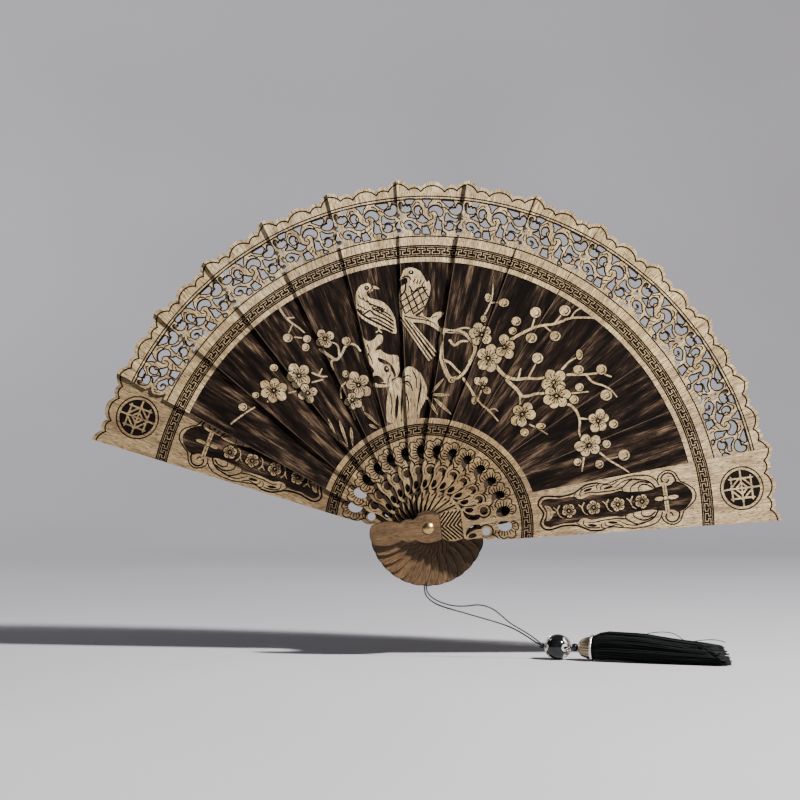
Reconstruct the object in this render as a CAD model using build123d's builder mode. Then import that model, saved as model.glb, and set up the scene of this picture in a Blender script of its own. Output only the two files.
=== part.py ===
from build123d import *
import math
import os

# Carved sandalwood folding fan, a brise fan: two guards and twelve leaves turn on one brass rivet.
# Millimetres. The origin is on the rivet's axis, in the middle of the stack. The axis is Y, the
# front face looks to -Y and +Z is up. The fan stands fully open, and the front guard is fixed.

# ---- driving dimensions -------------------------------------------------------------------
LEAF_COUNT = 12
FRONT_GUARD_ANGLE = 7.3            # degrees above +X, seen from the front
STICK_STEP = 11.7                  # degrees from one stick to the next

LEAF_THICKNESS = 1.05
GUARD_THICKNESS = 2.2
HEAD_PROUD = 0.2                   # the pivot head stands this far proud of a stick's front face
HEAD_GAP = 0.25                    # running gap from a stick's back to the next head
CORD_GAP = 1.1                     # further room between the two middle leaves, for the cord

TIP_HALF_WIDTH = 20.76             # half width of a stick at its corners
TIP_HEIGHT = 197.6                 # height of those corners above the rivet
SHOULDER_HALF_WIDTH = 12.1         # half width where the straight sides end
SHOULDER_HEIGHT = 50.0
HEAD_TOP = 7.4                     # top of the proud pivot head
TAIL_LENGTH = 33.2                 # from the rivet down to the tail's end

RIVET_RADIUS = 1.5
RIVET_CLEARANCE = 0.05
RIVET_HEAD_RADIUS = 3.05
RIVET_HEAD_HEIGHT = 1.1            # height of the dome
WASHER_RADIUS = 3.4
WASHER_THICKNESS = 0.5
RIVET_CAP_RADIUS = 2.5
RIVET_CAP_HEIGHT = 0.9

RIBBON_RADIUS = 158.0              # distance of the linking ribbon from the rivet
RIBBON_WIDTH = 4.0
RIBBON_HALF_LENGTH = 16.0
RIBBON_THICKNESS = 0.15

CORD_RADIUS = 0.4
SURFACE_Z = -74.2                  # the surface that the bead and the tassel lie on
TASSEL_TURN = -20.0                # degrees that the tassel lies towards the front
BEAD_RADIUS = 7.1
BEAD_X, BEAD_Y = 73.2, -3.4
BEAD_BORE_RADIUS = 0.55
KNOT_BEAD_RADIUS = 2.25
CAP_RIM_RADIUS = 7.6

STICK_PITCH = LEAF_THICKNESS + HEAD_PROUD + HEAD_GAP
MIDDLE_GAP = HEAD_GAP + CORD_GAP
FRONT_HALF = LEAF_COUNT // 2

os.makedirs("parts", exist_ok=True)


def save(part, name):
    part.label = name
    export_step(part, f"parts/{name}.step")


# ---- where each stick stands --------------------------------------------------------------
def leaf_front(number):
    """Y of the front face of a leaf's blade, leaf 1 being next to the front guard."""
    if number <= FRONT_HALF:
        return -MIDDLE_GAP / 2 - LEAF_THICKNESS - (FRONT_HALF - number) * STICK_PITCH
    return MIDDLE_GAP / 2 + HEAD_PROUD + (number - FRONT_HALF - 1) * STICK_PITCH


FRONT_GUARD_BACK = leaf_front(1) - HEAD_PROUD - HEAD_GAP
FRONT_GUARD_FRONT = FRONT_GUARD_BACK - GUARD_THICKNESS
REAR_GUARD_FRONT = leaf_front(LEAF_COUNT) + LEAF_THICKNESS + HEAD_GAP + HEAD_PROUD
REAR_GUARD_BACK = REAR_GUARD_FRONT + GUARD_THICKNESS


def stick_place(number, front_y):
    """Turns an upright stick to its own angle: 0 is the front guard, 13 the rear guard."""
    angle = FRONT_GUARD_ANGLE + number * STICK_STEP
    return Location((0, front_y, 0), (0, 90 - angle, 0))


# ---- the outline that all sticks share ----------------------------------------------------
TIP_NOTCHES = [(6.8, 193.4), (13.8, 194.1)]

with BuildSketch(Plane.XZ) as stick_outline:
    with BuildLine():
        # scalloped tip: a broad middle lobe, a small lobe and half a broad one at the corner
        ThreePointArc((0, 196.9), (3.9, 196.0), TIP_NOTCHES[0])
        ThreePointArc(TIP_NOTCHES[0], (10.4, 195.4), TIP_NOTCHES[1])
        ThreePointArc(TIP_NOTCHES[1], (17.0, 196.8), (TIP_HALF_WIDTH, TIP_HEIGHT))
        Line((TIP_HALF_WIDTH, TIP_HEIGHT), (SHOULDER_HALF_WIDTH, SHOULDER_HEIGHT))
        # the shaped lower part, from the shoulder to the pivot head
        Line((SHOULDER_HALF_WIDTH, SHOULDER_HEIGHT), (11.3, 39.6))
        ThreePointArc((11.3, 39.6), (10.5, 37.9), (9.8, 37.2))
        ThreePointArc((9.8, 37.2), (10.6, 34.4), (9.5, 29.6))
        ThreePointArc((9.5, 29.6), (8.9, 25.6), (9.2, 22.0))
        ThreePointArc((9.2, 22.0), (8.7, 20.2), (7.7, 19.0))
        ThreePointArc((7.7, 19.0), (8.95, 14.2), (6.7, HEAD_TOP + 0.4))
        Line((6.7, HEAD_TOP + 0.4), (7.2, 6.6))
        ThreePointArc((7.2, 6.6), (8.3, -0.6), (5.8, -8.0))
        ThreePointArc((5.8, -8.0), (6.5, -11.7), (5.0, -15.3))
        ThreePointArc((5.0, -15.3), (6.9, -24.0), (5.4, -31.6))
        ThreePointArc((5.4, -31.6), (2.9, -32.8), (0, -TAIL_LENGTH))
        mirror(about=Plane.YZ)
    make_face()

with BuildSketch(Plane.XZ) as head_outline:
    add(stick_outline.sketch)
    with Locations((0, HEAD_TOP - 50)):
        Rectangle(60, 100, mode=Mode.INTERSECT)

def smooth_loop(points):
    """A closed smooth curve past the points: a parabola round each one, from midpoint to midpoint."""
    corners = [Vector(*point) for point in points]
    count = len(corners)
    # pushed out a little, so that the rounded curve still passes through the points
    pushed = [
        corner + (corner * 2 - corners[index - 1] - corners[(index + 1) % count]) / 8
        for index, corner in enumerate(corners)]
    for index, corner in enumerate(pushed):
        start = (pushed[index - 1] + corner) / 2
        end = (corner + pushed[(index + 1) % count]) / 2
        Bezier(start, corner, end)


# ---- piercings of the band of scrolls, each a closed curve through its turning points -------
SCROLL_PIERCINGS = {
    "left_c_scroll": [
        (-18.7, 182.4), (-18.7, 183.8), (-17.9, 184.4), (-17.4, 183.7), (-17.4, 182.7), (-16.5, 182.2),
        (-15.4, 183.1), (-14.6, 182.2), (-13.4, 182.8), (-12.6, 181.8), (-12.3, 180.7), (-13.6, 179.5),
        (-15.6, 179.1), (-17.5, 179.9)],
    "left_top": [
        (-15.2, 186.1), (-12.8, 186.4), (-10.6, 186.3), (-11.3, 185.2), (-12.0, 183.8), (-13.1, 184.3),
        (-13.9, 183.9), (-15.1, 184.4)],
    "ring": [
        (-8.2, 182.6), (-9.7, 181.8), (-10.0, 180.1), (-9.3, 178.4), (-8.0, 178.0), (-6.9, 178.8),
        (-7.7, 179.8), (-6.8, 181.2), (-7.1, 182.2)],
    "under_ring": [
        (-11.6, 179.2), (-11.0, 177.8), (-9.5, 176.4), (-10.2, 176.0), (-12.0, 176.5), (-14.1, 176.8),
        (-12.5, 177.8)],
    "middle_leaf": [
        (-5.8, 177.7), (-4.3, 176.0), (-2.5, 174.6), (-4.4, 173.6), (-6.4, 173.6), (-8.7, 174.9),
        (-7.5, 175.5), (-6.8, 176.8)],
    "lower_spiral": [
        (-15.8, 172.2), (-15.0, 173.7), (-13.1, 174.4), (-11.3, 173.7), (-9.8, 172.4), (-8.3, 171.2),
        (-9.6, 170.2), (-10.6, 169.0), (-11.5, 169.6), (-11.1, 171.2), (-12.2, 172.6), (-13.9, 172.6),
        (-13.9, 171.6), (-12.7, 171.5), (-12.5, 170.2), (-13.7, 169.8), (-15.2, 170.8)],
    "hook": [
        (-9.9, 168.1), (-9.3, 169.3), (-8.1, 169.8), (-6.9, 169.2), (-7.4, 168.0), (-6.9, 167.3),
        (-8.4, 167.1), (-9.8, 167.2)],
    "lower_middle": [
        (-5.4, 170.8), (-4.1, 170.9), (-2.9, 171.3), (-2.2, 170.2), (-1.8, 168.9), (-1.0, 167.6),
        (-1.7, 167.1), (-3.6, 167.1), (-5.3, 167.3), (-5.3, 169.2)],
    "top_vee": [
        (-5.7, 186.4), (-3.0, 186.5), (-0.6, 186.4), (-2.1, 184.8), (-3.2, 182.0), (-4.1, 184.6)],
    "great_spiral": [
        (-1.9, 180.2), (-1.0, 181.9), (1.6, 183.1), (4.4, 182.2), (6.0, 180.0), (5.2, 177.7),
        (3.8, 177.3), (3.0, 178.6), (1.8, 180.0), (0.2, 180.4), (-0.9, 179.7)],
    "right_top": [
        (5.6, 186.0), (8.8, 185.9), (12.0, 185.5), (11.5, 183.6), (9.9, 182.7), (8.8, 183.0),
        (7.7, 184.0), (6.5, 185.1)],
    "right_c_scroll": [
        (9.7, 180.7), (10.7, 181.6), (12.2, 181.8), (13.6, 181.9), (13.9, 183.3), (15.2, 184.2),
        (16.7, 182.9), (16.5, 180.5), (15.2, 178.7), (12.8, 178.2), (10.8, 179.2)],
    "right_triangle": [
        (8.3, 179.1), (9.9, 177.3), (12.2, 176.0), (14.7, 175.7), (13.3, 174.0), (11.6, 174.8),
        (9.6, 175.1), (7.5, 174.4), (7.4, 176.6)],
    "right_spiral": [
        (8.8, 173.1), (10.2, 173.6), (11.9, 172.5), (11.8, 170.6), (10.2, 169.4), (8.4, 169.8),
        (7.2, 171.0), (8.6, 171.7)],
    "middle_window": [
        (3.0, 176.7), (3.5, 175.4), (4.1, 174.5), (5.2, 174.0), (5.1, 171.8), (5.7, 169.7), (4.2, 169.9),
        (2.4, 169.9), (1.9, 171.4), (2.7, 174.0)],
    "lower_gap": [(6.1, 168.3), (7.0, 167.5), (7.8, 166.9), (6.6, 166.8), (5.7, 166.9)],
    "right_window": [
        (14.7, 171.2), (15.5, 173.0), (17.0, 173.6), (17.8, 172.2), (17.0, 170.6), (15.6, 170.2)],
    "right_foot": [(13.0, 167.0), (14.2, 167.9), (15.7, 168.2), (17.4, 167.4), (16.2, 166.6), (14.4, 166.6)],
}
# bites out of the left edge, where the scrolls themselves are the edge
LEFT_EDGE_BITES = [
    [(-19.4, 178.5), (-17.9, 177.4), (-16.7, 176.6), (-17.8, 175.9), (-19.2, 174.6), (-22.0, 174.9),
     (-22.0, 178.2)],
    [(-18.9, 172.2), (-18.5, 170.7), (-17.7, 169.2), (-16.4, 168.3), (-16.0, 167.3), (-18.0, 167.0),
     (-22.0, 167.4), (-22.0, 171.8)],
]

# ---- piercings of the peacock-eye zone, for the right half of a stick -----------------------
GREAT_EYE = [(1.3, 40.4), (2.6, 38.9), (4.4, 39.0), (6.2, 40.4), (7.1, 42.9), (6.5, 45.6), (4.5, 46.9),
             (2.4, 45.8), (1.1, 43.2)]
EYE_SLIT = [(2.2, 28.4), (1.7, 26.2), (2.2, 23.4), (3.3, 21.9), (3.9, 23.0), (3.3, 25.6)]
EYE_ROUND = (5.8, 32.2, 2.3)       # x, height and radius of the round eye
EYE_OVAL = (7.0, 23.2, 0.7, 1.3)   # x, height and half axes of the small oval

PIERCING_PLANE = Plane.XZ.offset(1.0)  # a little in front of the proud head
PIERCING_DEPTH = GUARD_THICKNESS + 2.0

with BuildSketch(PIERCING_PLANE) as small_eyes:
    for side in (1, -1):
        with BuildLine():
            smooth_loop([(side * x, z) for x, z in EYE_SLIT])
        make_face()
        with Locations((side * EYE_ROUND[0], EYE_ROUND[1])):
            Circle(EYE_ROUND[2])
        with Locations((side * EYE_OVAL[0], EYE_OVAL[1])):
            Ellipse(EYE_OVAL[2], EYE_OVAL[3])
    Circle(RIVET_RADIUS + RIVET_CLEARANCE)

# a leaf has only the left one of its two great eyes, so nobody looks right through the open fan
with BuildSketch(PIERCING_PLANE) as left_great_eye:
    with BuildLine():
        smooth_loop([(-x, z) for x, z in GREAT_EYE])
    make_face()

with BuildSketch(PIERCING_PLANE) as right_great_eye:
    with BuildLine():
        smooth_loop(GREAT_EYE)
    make_face()

with BuildSketch(PIERCING_PLANE) as scroll_holes:
    for curve in SCROLL_PIERCINGS.values():
        with BuildLine():
            smooth_loop(curve)
        make_face()
    for bite in LEFT_EDGE_BITES:
        for side in (1, -1):
            with BuildLine():
                smooth_loop([(side * x, z) for x, z in bite])
            make_face()

# ---- one upright leaf and one upright guard, with their front faces at Y = 0 -----------------
with BuildPart() as leaf_blank:
    extrude(stick_outline.sketch, amount=-LEAF_THICKNESS)
    extrude(head_outline.sketch, amount=HEAD_PROUD)
    extrude(small_eyes.sketch, amount=-PIERCING_DEPTH, mode=Mode.SUBTRACT)
    extrude(left_great_eye.sketch, amount=-PIERCING_DEPTH, mode=Mode.SUBTRACT)
    extrude(scroll_holes.sketch, amount=-PIERCING_DEPTH, mode=Mode.SUBTRACT)

with BuildPart() as guard_blank:
    extrude(stick_outline.sketch, amount=-GUARD_THICKNESS)
    extrude(head_outline.sketch, amount=HEAD_PROUD)
    extrude(small_eyes.sketch, amount=-PIERCING_DEPTH, mode=Mode.SUBTRACT)
    extrude(left_great_eye.sketch, amount=-PIERCING_DEPTH, mode=Mode.SUBTRACT)
    extrude(right_great_eye.sketch, amount=-PIERCING_DEPTH, mode=Mode.SUBTRACT)


def make_leaf(number):
    with BuildPart() as leaf:
        with Locations(stick_place(number, leaf_front(number))):
            add(leaf_blank.part)
    save(leaf.part, f"leaf_{number:02d}")


def make_front_guard():
    with BuildPart() as front_guard:
        with Locations(stick_place(0, FRONT_GUARD_FRONT)):
            add(guard_blank.part)
    save(front_guard.part, "front_guard")


def make_rear_guard():
    with BuildPart() as rear_guard:
        with Locations(stick_place(LEAF_COUNT + 1, REAR_GUARD_FRONT)):
            add(guard_blank.part)
    save(rear_guard.part, "rear_guard")


def make_link_ribbon(number):
    """The stretch of the linking ribbon that is glued to the back of stick number - 1."""
    stick = number - 1
    back = FRONT_GUARD_BACK if stick == 0 else leaf_front(stick) + LEAF_THICKNESS
    with BuildPart() as link_ribbon:
        with Locations(stick_place(stick, back + RIBBON_THICKNESS / 2)):
            with Locations((0, 0, RIBBON_RADIUS)):
                Box(2 * RIBBON_HALF_LENGTH, RIBBON_THICKNESS, RIBBON_WIDTH)
    save(link_ribbon.part, f"link_ribbon_{number:02d}")


# ---- the rivet --------------------------------------------------------------------------------
HEAD_SEAT = FRONT_GUARD_FRONT - HEAD_PROUD
SHANK_END = REAR_GUARD_BACK + WASHER_THICKNESS
RIVET_HEAD_EDGE = 0.25             # height of the head's straight edge, under the dome


def dome_middle(radius, height):
    """The point halfway along a dome's section, as distance from the axis and height."""
    sphere = (radius ** 2 + height ** 2) / (2 * height)
    half_angle = math.asin(radius / sphere) / 2
    return sphere * math.sin(half_angle), sphere * math.cos(half_angle) - sphere + height


def make_rivet():
    """Domed head and shank in one piece, turned about Y."""
    edge_y = HEAD_SEAT - RIVET_HEAD_EDGE
    middle_r, middle_h = dome_middle(RIVET_HEAD_RADIUS, RIVET_HEAD_HEIGHT)
    with BuildPart() as rivet:
        with BuildSketch(Plane.XY):
            with BuildLine():
                Polyline(
                    (0, edge_y - RIVET_HEAD_HEIGHT), (0, SHANK_END), (RIVET_RADIUS, SHANK_END),
                    (RIVET_RADIUS, HEAD_SEAT), (RIVET_HEAD_RADIUS, HEAD_SEAT), (RIVET_HEAD_RADIUS, edge_y))
                ThreePointArc(
                    (RIVET_HEAD_RADIUS, edge_y), (middle_r, edge_y - middle_h),
                    (0, edge_y - RIVET_HEAD_HEIGHT))
            make_face()
        revolve(axis=Axis.Y)
    save(rivet.part, "rivet")


def make_rivet_washer():
    with BuildPart() as rivet_washer:
        with BuildSketch(Plane.XZ.offset(-REAR_GUARD_BACK)):
            Circle(WASHER_RADIUS)
            Circle(RIVET_RADIUS + RIVET_CLEARANCE, mode=Mode.SUBTRACT)
        extrude(amount=-WASHER_THICKNESS)
        chamfer(rivet_washer.edges().group_by(Axis.Y)[-1].sort_by(SortBy.LENGTH)[-1], length=0.15)
    save(rivet_washer.part, "rivet_washer")


def make_rivet_cap():
    """The peened end of the rivet, a low dome that bears on the washer."""
    middle_r, middle_h = dome_middle(RIVET_CAP_RADIUS, RIVET_CAP_HEIGHT)
    with BuildPart() as rivet_cap:
        with BuildSketch(Plane.XY):
            with BuildLine():
                Line((0, SHANK_END), (RIVET_CAP_RADIUS, SHANK_END))
                ThreePointArc(
                    (RIVET_CAP_RADIUS, SHANK_END), (middle_r, SHANK_END + middle_h),
                    (0, SHANK_END + RIVET_CAP_HEIGHT))
                Line((0, SHANK_END + RIVET_CAP_HEIGHT), (0, SHANK_END))
            make_face()
        revolve(axis=Axis.Y)
    save(rivet_cap.part, "rivet_cap")


# ---- the cord: a bight over the rivet, then two free strands down to a knot --------------------
BIGHT_RADIUS = RIVET_RADIUS + RIVET_CLEARANCE + CORD_RADIUS
EXIT_Z = -34.5
EXIT_A = (-BIGHT_RADIUS, 0, EXIT_Z)
EXIT_B = (-0.9, 0, EXIT_Z)
KNOT = (64.6, -0.3, -66.7)
KNOT_RADIUS = 1.5
STRAND_A = [
    EXIT_A, (-1.9, -0.1, -37.5), (1.0, -0.3, -41.0), (5.6, -0.6, -43.8), (12.5, -0.9, -46.0),
    (21.0, -1.2, -48.3), (31.0, -1.5, -51.2), (41.0, -1.7, -54.0), (49.0, -1.7, -57.2),
    (55.5, -1.4, -61.1), (60.6, -0.9, -64.6), (63.6, -0.45, -66.1)]
STRAND_B = [
    EXIT_B, (-0.5, -0.3, -36.8), (2.6, -1.0, -39.9), (7.4, -1.8, -42.3), (14.0, -2.2, -44.2),
    (21.6, -2.4, -44.3), (29.2, -2.5, -43.2), (36.3, -2.7, -45.4), (41.6, -2.9, -49.6),
    (46.2, -3.0, -53.8), (51.8, -2.8, -57.0), (57.4, -2.4, -60.4), (61.8, -1.6, -63.7), (64.2, -0.75, -65.8)]


def route_radii(points):
    """The largest arc that each corner of a route has room for."""
    radii = []
    for before, here, after in zip(points, points[1:], points[2:]):
        run_in = Vector(here) - Vector(before)
        run_out = Vector(after) - Vector(here)
        half_turn = math.radians(run_in.get_angle(run_out)) / 2
        radii.append(0.45 * min(run_in.length, run_out.length) / math.tan(half_turn))
    return radii


def make_cord_bight():
    """The thread's middle, held between the two middle leaves and looped over the rivet."""
    with BuildPart() as cord_bight:
        with BuildLine() as path:
            Line(EXIT_A, (-BIGHT_RADIUS, 0, 0))
            ThreePointArc((-BIGHT_RADIUS, 0, 0), (0, 0, BIGHT_RADIUS), (BIGHT_RADIUS, 0, 0))
            FilletPolyline((BIGHT_RADIUS, 0, 0), (BIGHT_RADIUS, 0, -8), EXIT_B, radius=40)
        with BuildSketch(Plane(origin=EXIT_A, z_dir=(0, 0, 1))):
            Circle(CORD_RADIUS)
        sweep(path=path.line)
    save(cord_bight.part, "cord_bight")


def make_strand(name, points):
    radii = route_radii(points)
    print(name, "radii", [round(radius, 1) for radius in radii])
    with BuildPart() as strand:
        with BuildLine() as route:
            FilletPolyline(*points, radius=radii)
        with BuildSketch(Plane(origin=points[0], z_dir=route.line % 0)):
            Circle(CORD_RADIUS)
        sweep(path=route.line)
    length = sum(edge.length for edge in route.edges())
    section = math.pi * CORD_RADIUS ** 2
    print(name, "length", round(length, 1), "volume ratio", round(strand.part.volume / (section * length), 4))
    save(strand.part, name)


def make_cord_knot():
    with BuildPart() as cord_knot:
        with Locations(KNOT):
            Sphere(KNOT_RADIUS)
    save(cord_knot.part, "cord_knot")


# ---- the bead and the tassel, turned about one level axis --------------------------------------
TASSEL_AXIS = Vector(1, 0, 0).rotate(Axis.Z, TASSEL_TURN)
BEAD_CENTRE = Vector(BEAD_X, BEAD_Y, SURFACE_Z + BEAD_RADIUS)
# U runs along the tassel from the bead's centre, and W is the distance from its axis
TASSEL_PLANE = Plane(origin=BEAD_CENTRE, x_dir=TASSEL_AXIS, z_dir=Vector(0, -1, 0).rotate(Axis.Z, TASSEL_TURN))
TURNING_AXIS = Axis(BEAD_CENTRE, TASSEL_AXIS)
BEAD_CAP_THICKNESS = 0.45
BEAD_CAP_REACH = 45.0              # degrees from the pole to the cap's edge
KNOT_BEAD_U = 9.85
CAP_START_U = 12.2
CAP_LENGTH = 8.2
RIM_LENGTH = 1.4
SKIRT_START_U = CAP_START_U + CAP_LENGTH - 1.0
CORE_END_U = SKIRT_START_U + 22.0


def ball_point(radius, degrees_from_pole, side):
    angle = math.radians(degrees_from_pole)
    return (side * radius * math.cos(angle), radius * math.sin(angle))


def make_bead():
    with BuildPart() as bead:
        with BuildSketch(TASSEL_PLANE):
            with BuildLine():
                bore_angle = math.degrees(math.asin(BEAD_BORE_RADIUS / BEAD_RADIUS))
                start = ball_point(BEAD_RADIUS, bore_angle, 1)
                end = ball_point(BEAD_RADIUS, bore_angle, -1)
                ThreePointArc(start, (0, BEAD_RADIUS), end)
                Line(end, start)
            make_face()
        revolve(axis=TURNING_AXIS)
    save(bead.part, "bead")


def make_bead_cap(name, side):
    """A thin cup over one pole of the bead."""
    inner = BEAD_RADIUS
    outer = BEAD_RADIUS + BEAD_CAP_THICKNESS
    with BuildPart() as bead_cap:
        with BuildSketch(TASSEL_PLANE):
            with BuildLine():
                inner_pole = ball_point(inner, math.degrees(math.asin(BEAD_BORE_RADIUS / inner)), side)
                outer_pole = ball_point(outer, math.degrees(math.asin(BEAD_BORE_RADIUS / outer)), side)
                inner_edge = ball_point(inner, BEAD_CAP_REACH, side)
                outer_edge = ball_point(outer, BEAD_CAP_REACH, side)
                ThreePointArc(inner_pole, ball_point(inner, BEAD_CAP_REACH / 2, side), inner_edge)
                Line(inner_edge, outer_edge)
                ThreePointArc(outer_edge, ball_point(outer, BEAD_CAP_REACH / 2, side), outer_pole)
                Line(outer_pole, inner_pole)
            make_face()
        revolve(axis=TURNING_AXIS)
    save(bead_cap.part, name)


def make_knot_bead():
    """A small bead with flattened poles between the large bead and the tassel's cap."""
    half = math.sqrt(KNOT_BEAD_RADIUS ** 2 - BEAD_BORE_RADIUS ** 2)
    with BuildPart() as knot_bead:
        with BuildSketch(TASSEL_PLANE):
            with BuildLine():
                ThreePointArc(
                    (KNOT_BEAD_U - half, BEAD_BORE_RADIUS),
                    (KNOT_BEAD_U, KNOT_BEAD_RADIUS),
                    (KNOT_BEAD_U + half, BEAD_BORE_RADIUS))
                Line((KNOT_BEAD_U + half, BEAD_BORE_RADIUS), (KNOT_BEAD_U - half, BEAD_BORE_RADIUS))
            make_face()
        revolve(axis=TURNING_AXIS)
    save(knot_bead.part, "knot_bead")


CAP_END_U = CAP_START_U + CAP_LENGTH
CAP_WALL = 0.6
RIM_INNER_RADIUS = 6.75            # the cap's own outer radius where the rim ring sits on it


def make_tassel_cap():
    """A hollow bell, open towards the skirt."""
    with BuildPart() as tassel_cap:
        with BuildSketch(TASSEL_PLANE):
            with BuildLine():
                Line((CAP_START_U, BEAD_BORE_RADIUS), (CAP_START_U, 2.4))
                ThreePointArc((CAP_START_U, 2.4), (CAP_START_U + 2.6, 5.2), (CAP_END_U, RIM_INNER_RADIUS))
                Line((CAP_END_U, RIM_INNER_RADIUS), (CAP_END_U, RIM_INNER_RADIUS - CAP_WALL))
                ThreePointArc(
                    (CAP_END_U, RIM_INNER_RADIUS - CAP_WALL),
                    (CAP_START_U + 3.1, 4.7),
                    (CAP_START_U + 0.7, 2.1))
                Line((CAP_START_U + 0.7, 2.1), (CAP_START_U + 0.7, BEAD_BORE_RADIUS))
                Line((CAP_START_U + 0.7, BEAD_BORE_RADIUS), (CAP_START_U, BEAD_BORE_RADIUS))
            make_face()
        revolve(axis=TURNING_AXIS)
    save(tassel_cap.part, "tassel_cap")


def make_tassel_cap_rim():
    """The bead ring soldered round the bell's mouth."""
    with BuildPart() as tassel_cap_rim:
        with BuildSketch(TASSEL_PLANE):
            with Locations((CAP_END_U, (RIM_INNER_RADIUS + CAP_RIM_RADIUS) / 2)):
                Ellipse(RIM_LENGTH / 2, (CAP_RIM_RADIUS - RIM_INNER_RADIUS) / 2)
        revolve(axis=TURNING_AXIS)
    save(tassel_cap_rim.part, "tassel_cap_rim")


def make_tassel_core():
    """The thread's end, drawn straight through both beads and the cap into the skirt."""
    start_u = -(BEAD_RADIUS + BEAD_CAP_THICKNESS)
    start = BEAD_CENTRE + TASSEL_AXIS * start_u
    with BuildPart() as tassel_core:
        with BuildSketch(Plane(origin=start, z_dir=TASSEL_AXIS)):
            Circle(CORD_RADIUS)
        extrude(amount=CORE_END_U - start_u)
    save(tassel_core.part, "tassel_core")


# distance along the skirt from its start, half width and height of the bundle there
SKIRT_SECTIONS = [(0.0, 5.6, 11.2), (10.0, 7.6, 14.6), (30.0, 8.6, 13.0), (50.0, 8.4, 9.6), (68.0, 7.6, 6.2), (82.0, 6.0, 4.2)]


def make_tassel_skirt():
    """The bundle of threads as one closed body that lies on the surface."""
    axis_height = BEAD_CENTRE.Z - SURFACE_Z
    with BuildPart() as tassel_skirt:
        for along, half_width, height in SKIRT_SECTIONS:
            # the bundle sits at the cap's own height first and lies on the surface after that
            centre_height = max(height / 2, axis_height - 0.5 * along)
            centre = BEAD_CENTRE + TASSEL_AXIS * (SKIRT_START_U + along)
            origin = Vector(centre.X, centre.Y, SURFACE_Z + centre_height)
            with BuildSketch(Plane(origin=origin, x_dir=(0, 0, 1), z_dir=TASSEL_AXIS)):
                Ellipse(height / 2, half_width)
        loft()
    save(tassel_skirt.part, "tassel_skirt")


make_front_guard()
for leaf_number in range(1, LEAF_COUNT + 1):
    make_leaf(leaf_number)
make_rear_guard()
for ribbon_number in range(1, LEAF_COUNT + 2):
    make_link_ribbon(ribbon_number)
make_rivet()
make_rivet_washer()
make_rivet_cap()
make_cord_bight()
make_strand("cord_strand_a", STRAND_A)
make_strand("cord_strand_b", STRAND_B)
make_cord_knot()
make_bead()
make_bead_cap("bead_cap_near", -1)
make_bead_cap("bead_cap_far", 1)
make_knot_bead()
make_tassel_cap()
make_tassel_cap_rim()
make_tassel_core()
make_tassel_skirt()
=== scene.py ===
"""Looks of the carved sandalwood folding fan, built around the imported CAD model.

Every stick is cut again as a relief: its outline and piercings come from the CAD stick, and the
engraved lines, burnt fields and carved motifs are laid over them as polygons. Sizes in this file
are millimetres, and x is across a stick, r along it from the rivet, unless a comment says more.
"""
import math
import random

import bpy
import numpy as np
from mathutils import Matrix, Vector
from mathutils.geometry import convex_hull_2d, delaunay_2d_cdt


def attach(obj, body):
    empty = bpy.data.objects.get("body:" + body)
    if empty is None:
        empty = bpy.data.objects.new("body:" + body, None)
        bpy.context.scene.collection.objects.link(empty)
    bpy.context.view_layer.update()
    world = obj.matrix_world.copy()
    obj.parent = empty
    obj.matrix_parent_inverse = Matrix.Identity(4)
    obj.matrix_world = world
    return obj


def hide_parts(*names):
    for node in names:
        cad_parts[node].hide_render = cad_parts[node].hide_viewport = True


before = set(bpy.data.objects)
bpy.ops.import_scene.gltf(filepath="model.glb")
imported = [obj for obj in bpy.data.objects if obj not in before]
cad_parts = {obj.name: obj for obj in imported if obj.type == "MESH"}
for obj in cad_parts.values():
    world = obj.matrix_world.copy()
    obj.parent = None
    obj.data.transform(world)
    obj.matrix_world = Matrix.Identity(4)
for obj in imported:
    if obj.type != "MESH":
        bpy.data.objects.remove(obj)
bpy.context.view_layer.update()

MM = 0.001

# ---- the fan's layout, as in the CAD model --------------------------------------------------
LEAF_COUNT = 12
FRONT_GUARD_ANGLE = 7.3
STICK_STEP = 11.7
HEAD_TOP = 7.4
HEAD_PROUD = 0.2
STICKS = ["front_guard"] + [f"leaf_{n:02d}" for n in range(1, LEAF_COUNT + 1)] + ["rear_guard"]


def stick_turn(number):
    angle = math.radians(FRONT_GUARD_ANGLE + number * STICK_STEP)
    return math.sin(angle), math.cos(angle)


def half_width(r):
    """Half width of a stick's straight sides."""
    return 9.2 + 0.0585 * r


def placed(name, data):
    """A new object with that data, in the scene."""
    thing = bpy.data.objects.new(name, data)
    bpy.context.scene.collection.objects.link(thing)
    return thing


# ---- the camera, level and far off ------------------------------------------------------------
def add_camera():
    camera = bpy.data.cameras.new("camera")
    camera.sensor_width = 36
    camera.lens = 95.1
    camera.clip_end = 20
    eye = placed("camera", camera)
    eye.location = Vector((-15.9, -1200, 45)) * MM
    target = Vector((-15.9, 0, 72.4)) * MM
    eye.rotation_euler = (target - eye.location).to_track_quat("-Z", "Y").to_euler()
    bpy.context.scene.camera = eye


add_camera()


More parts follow.
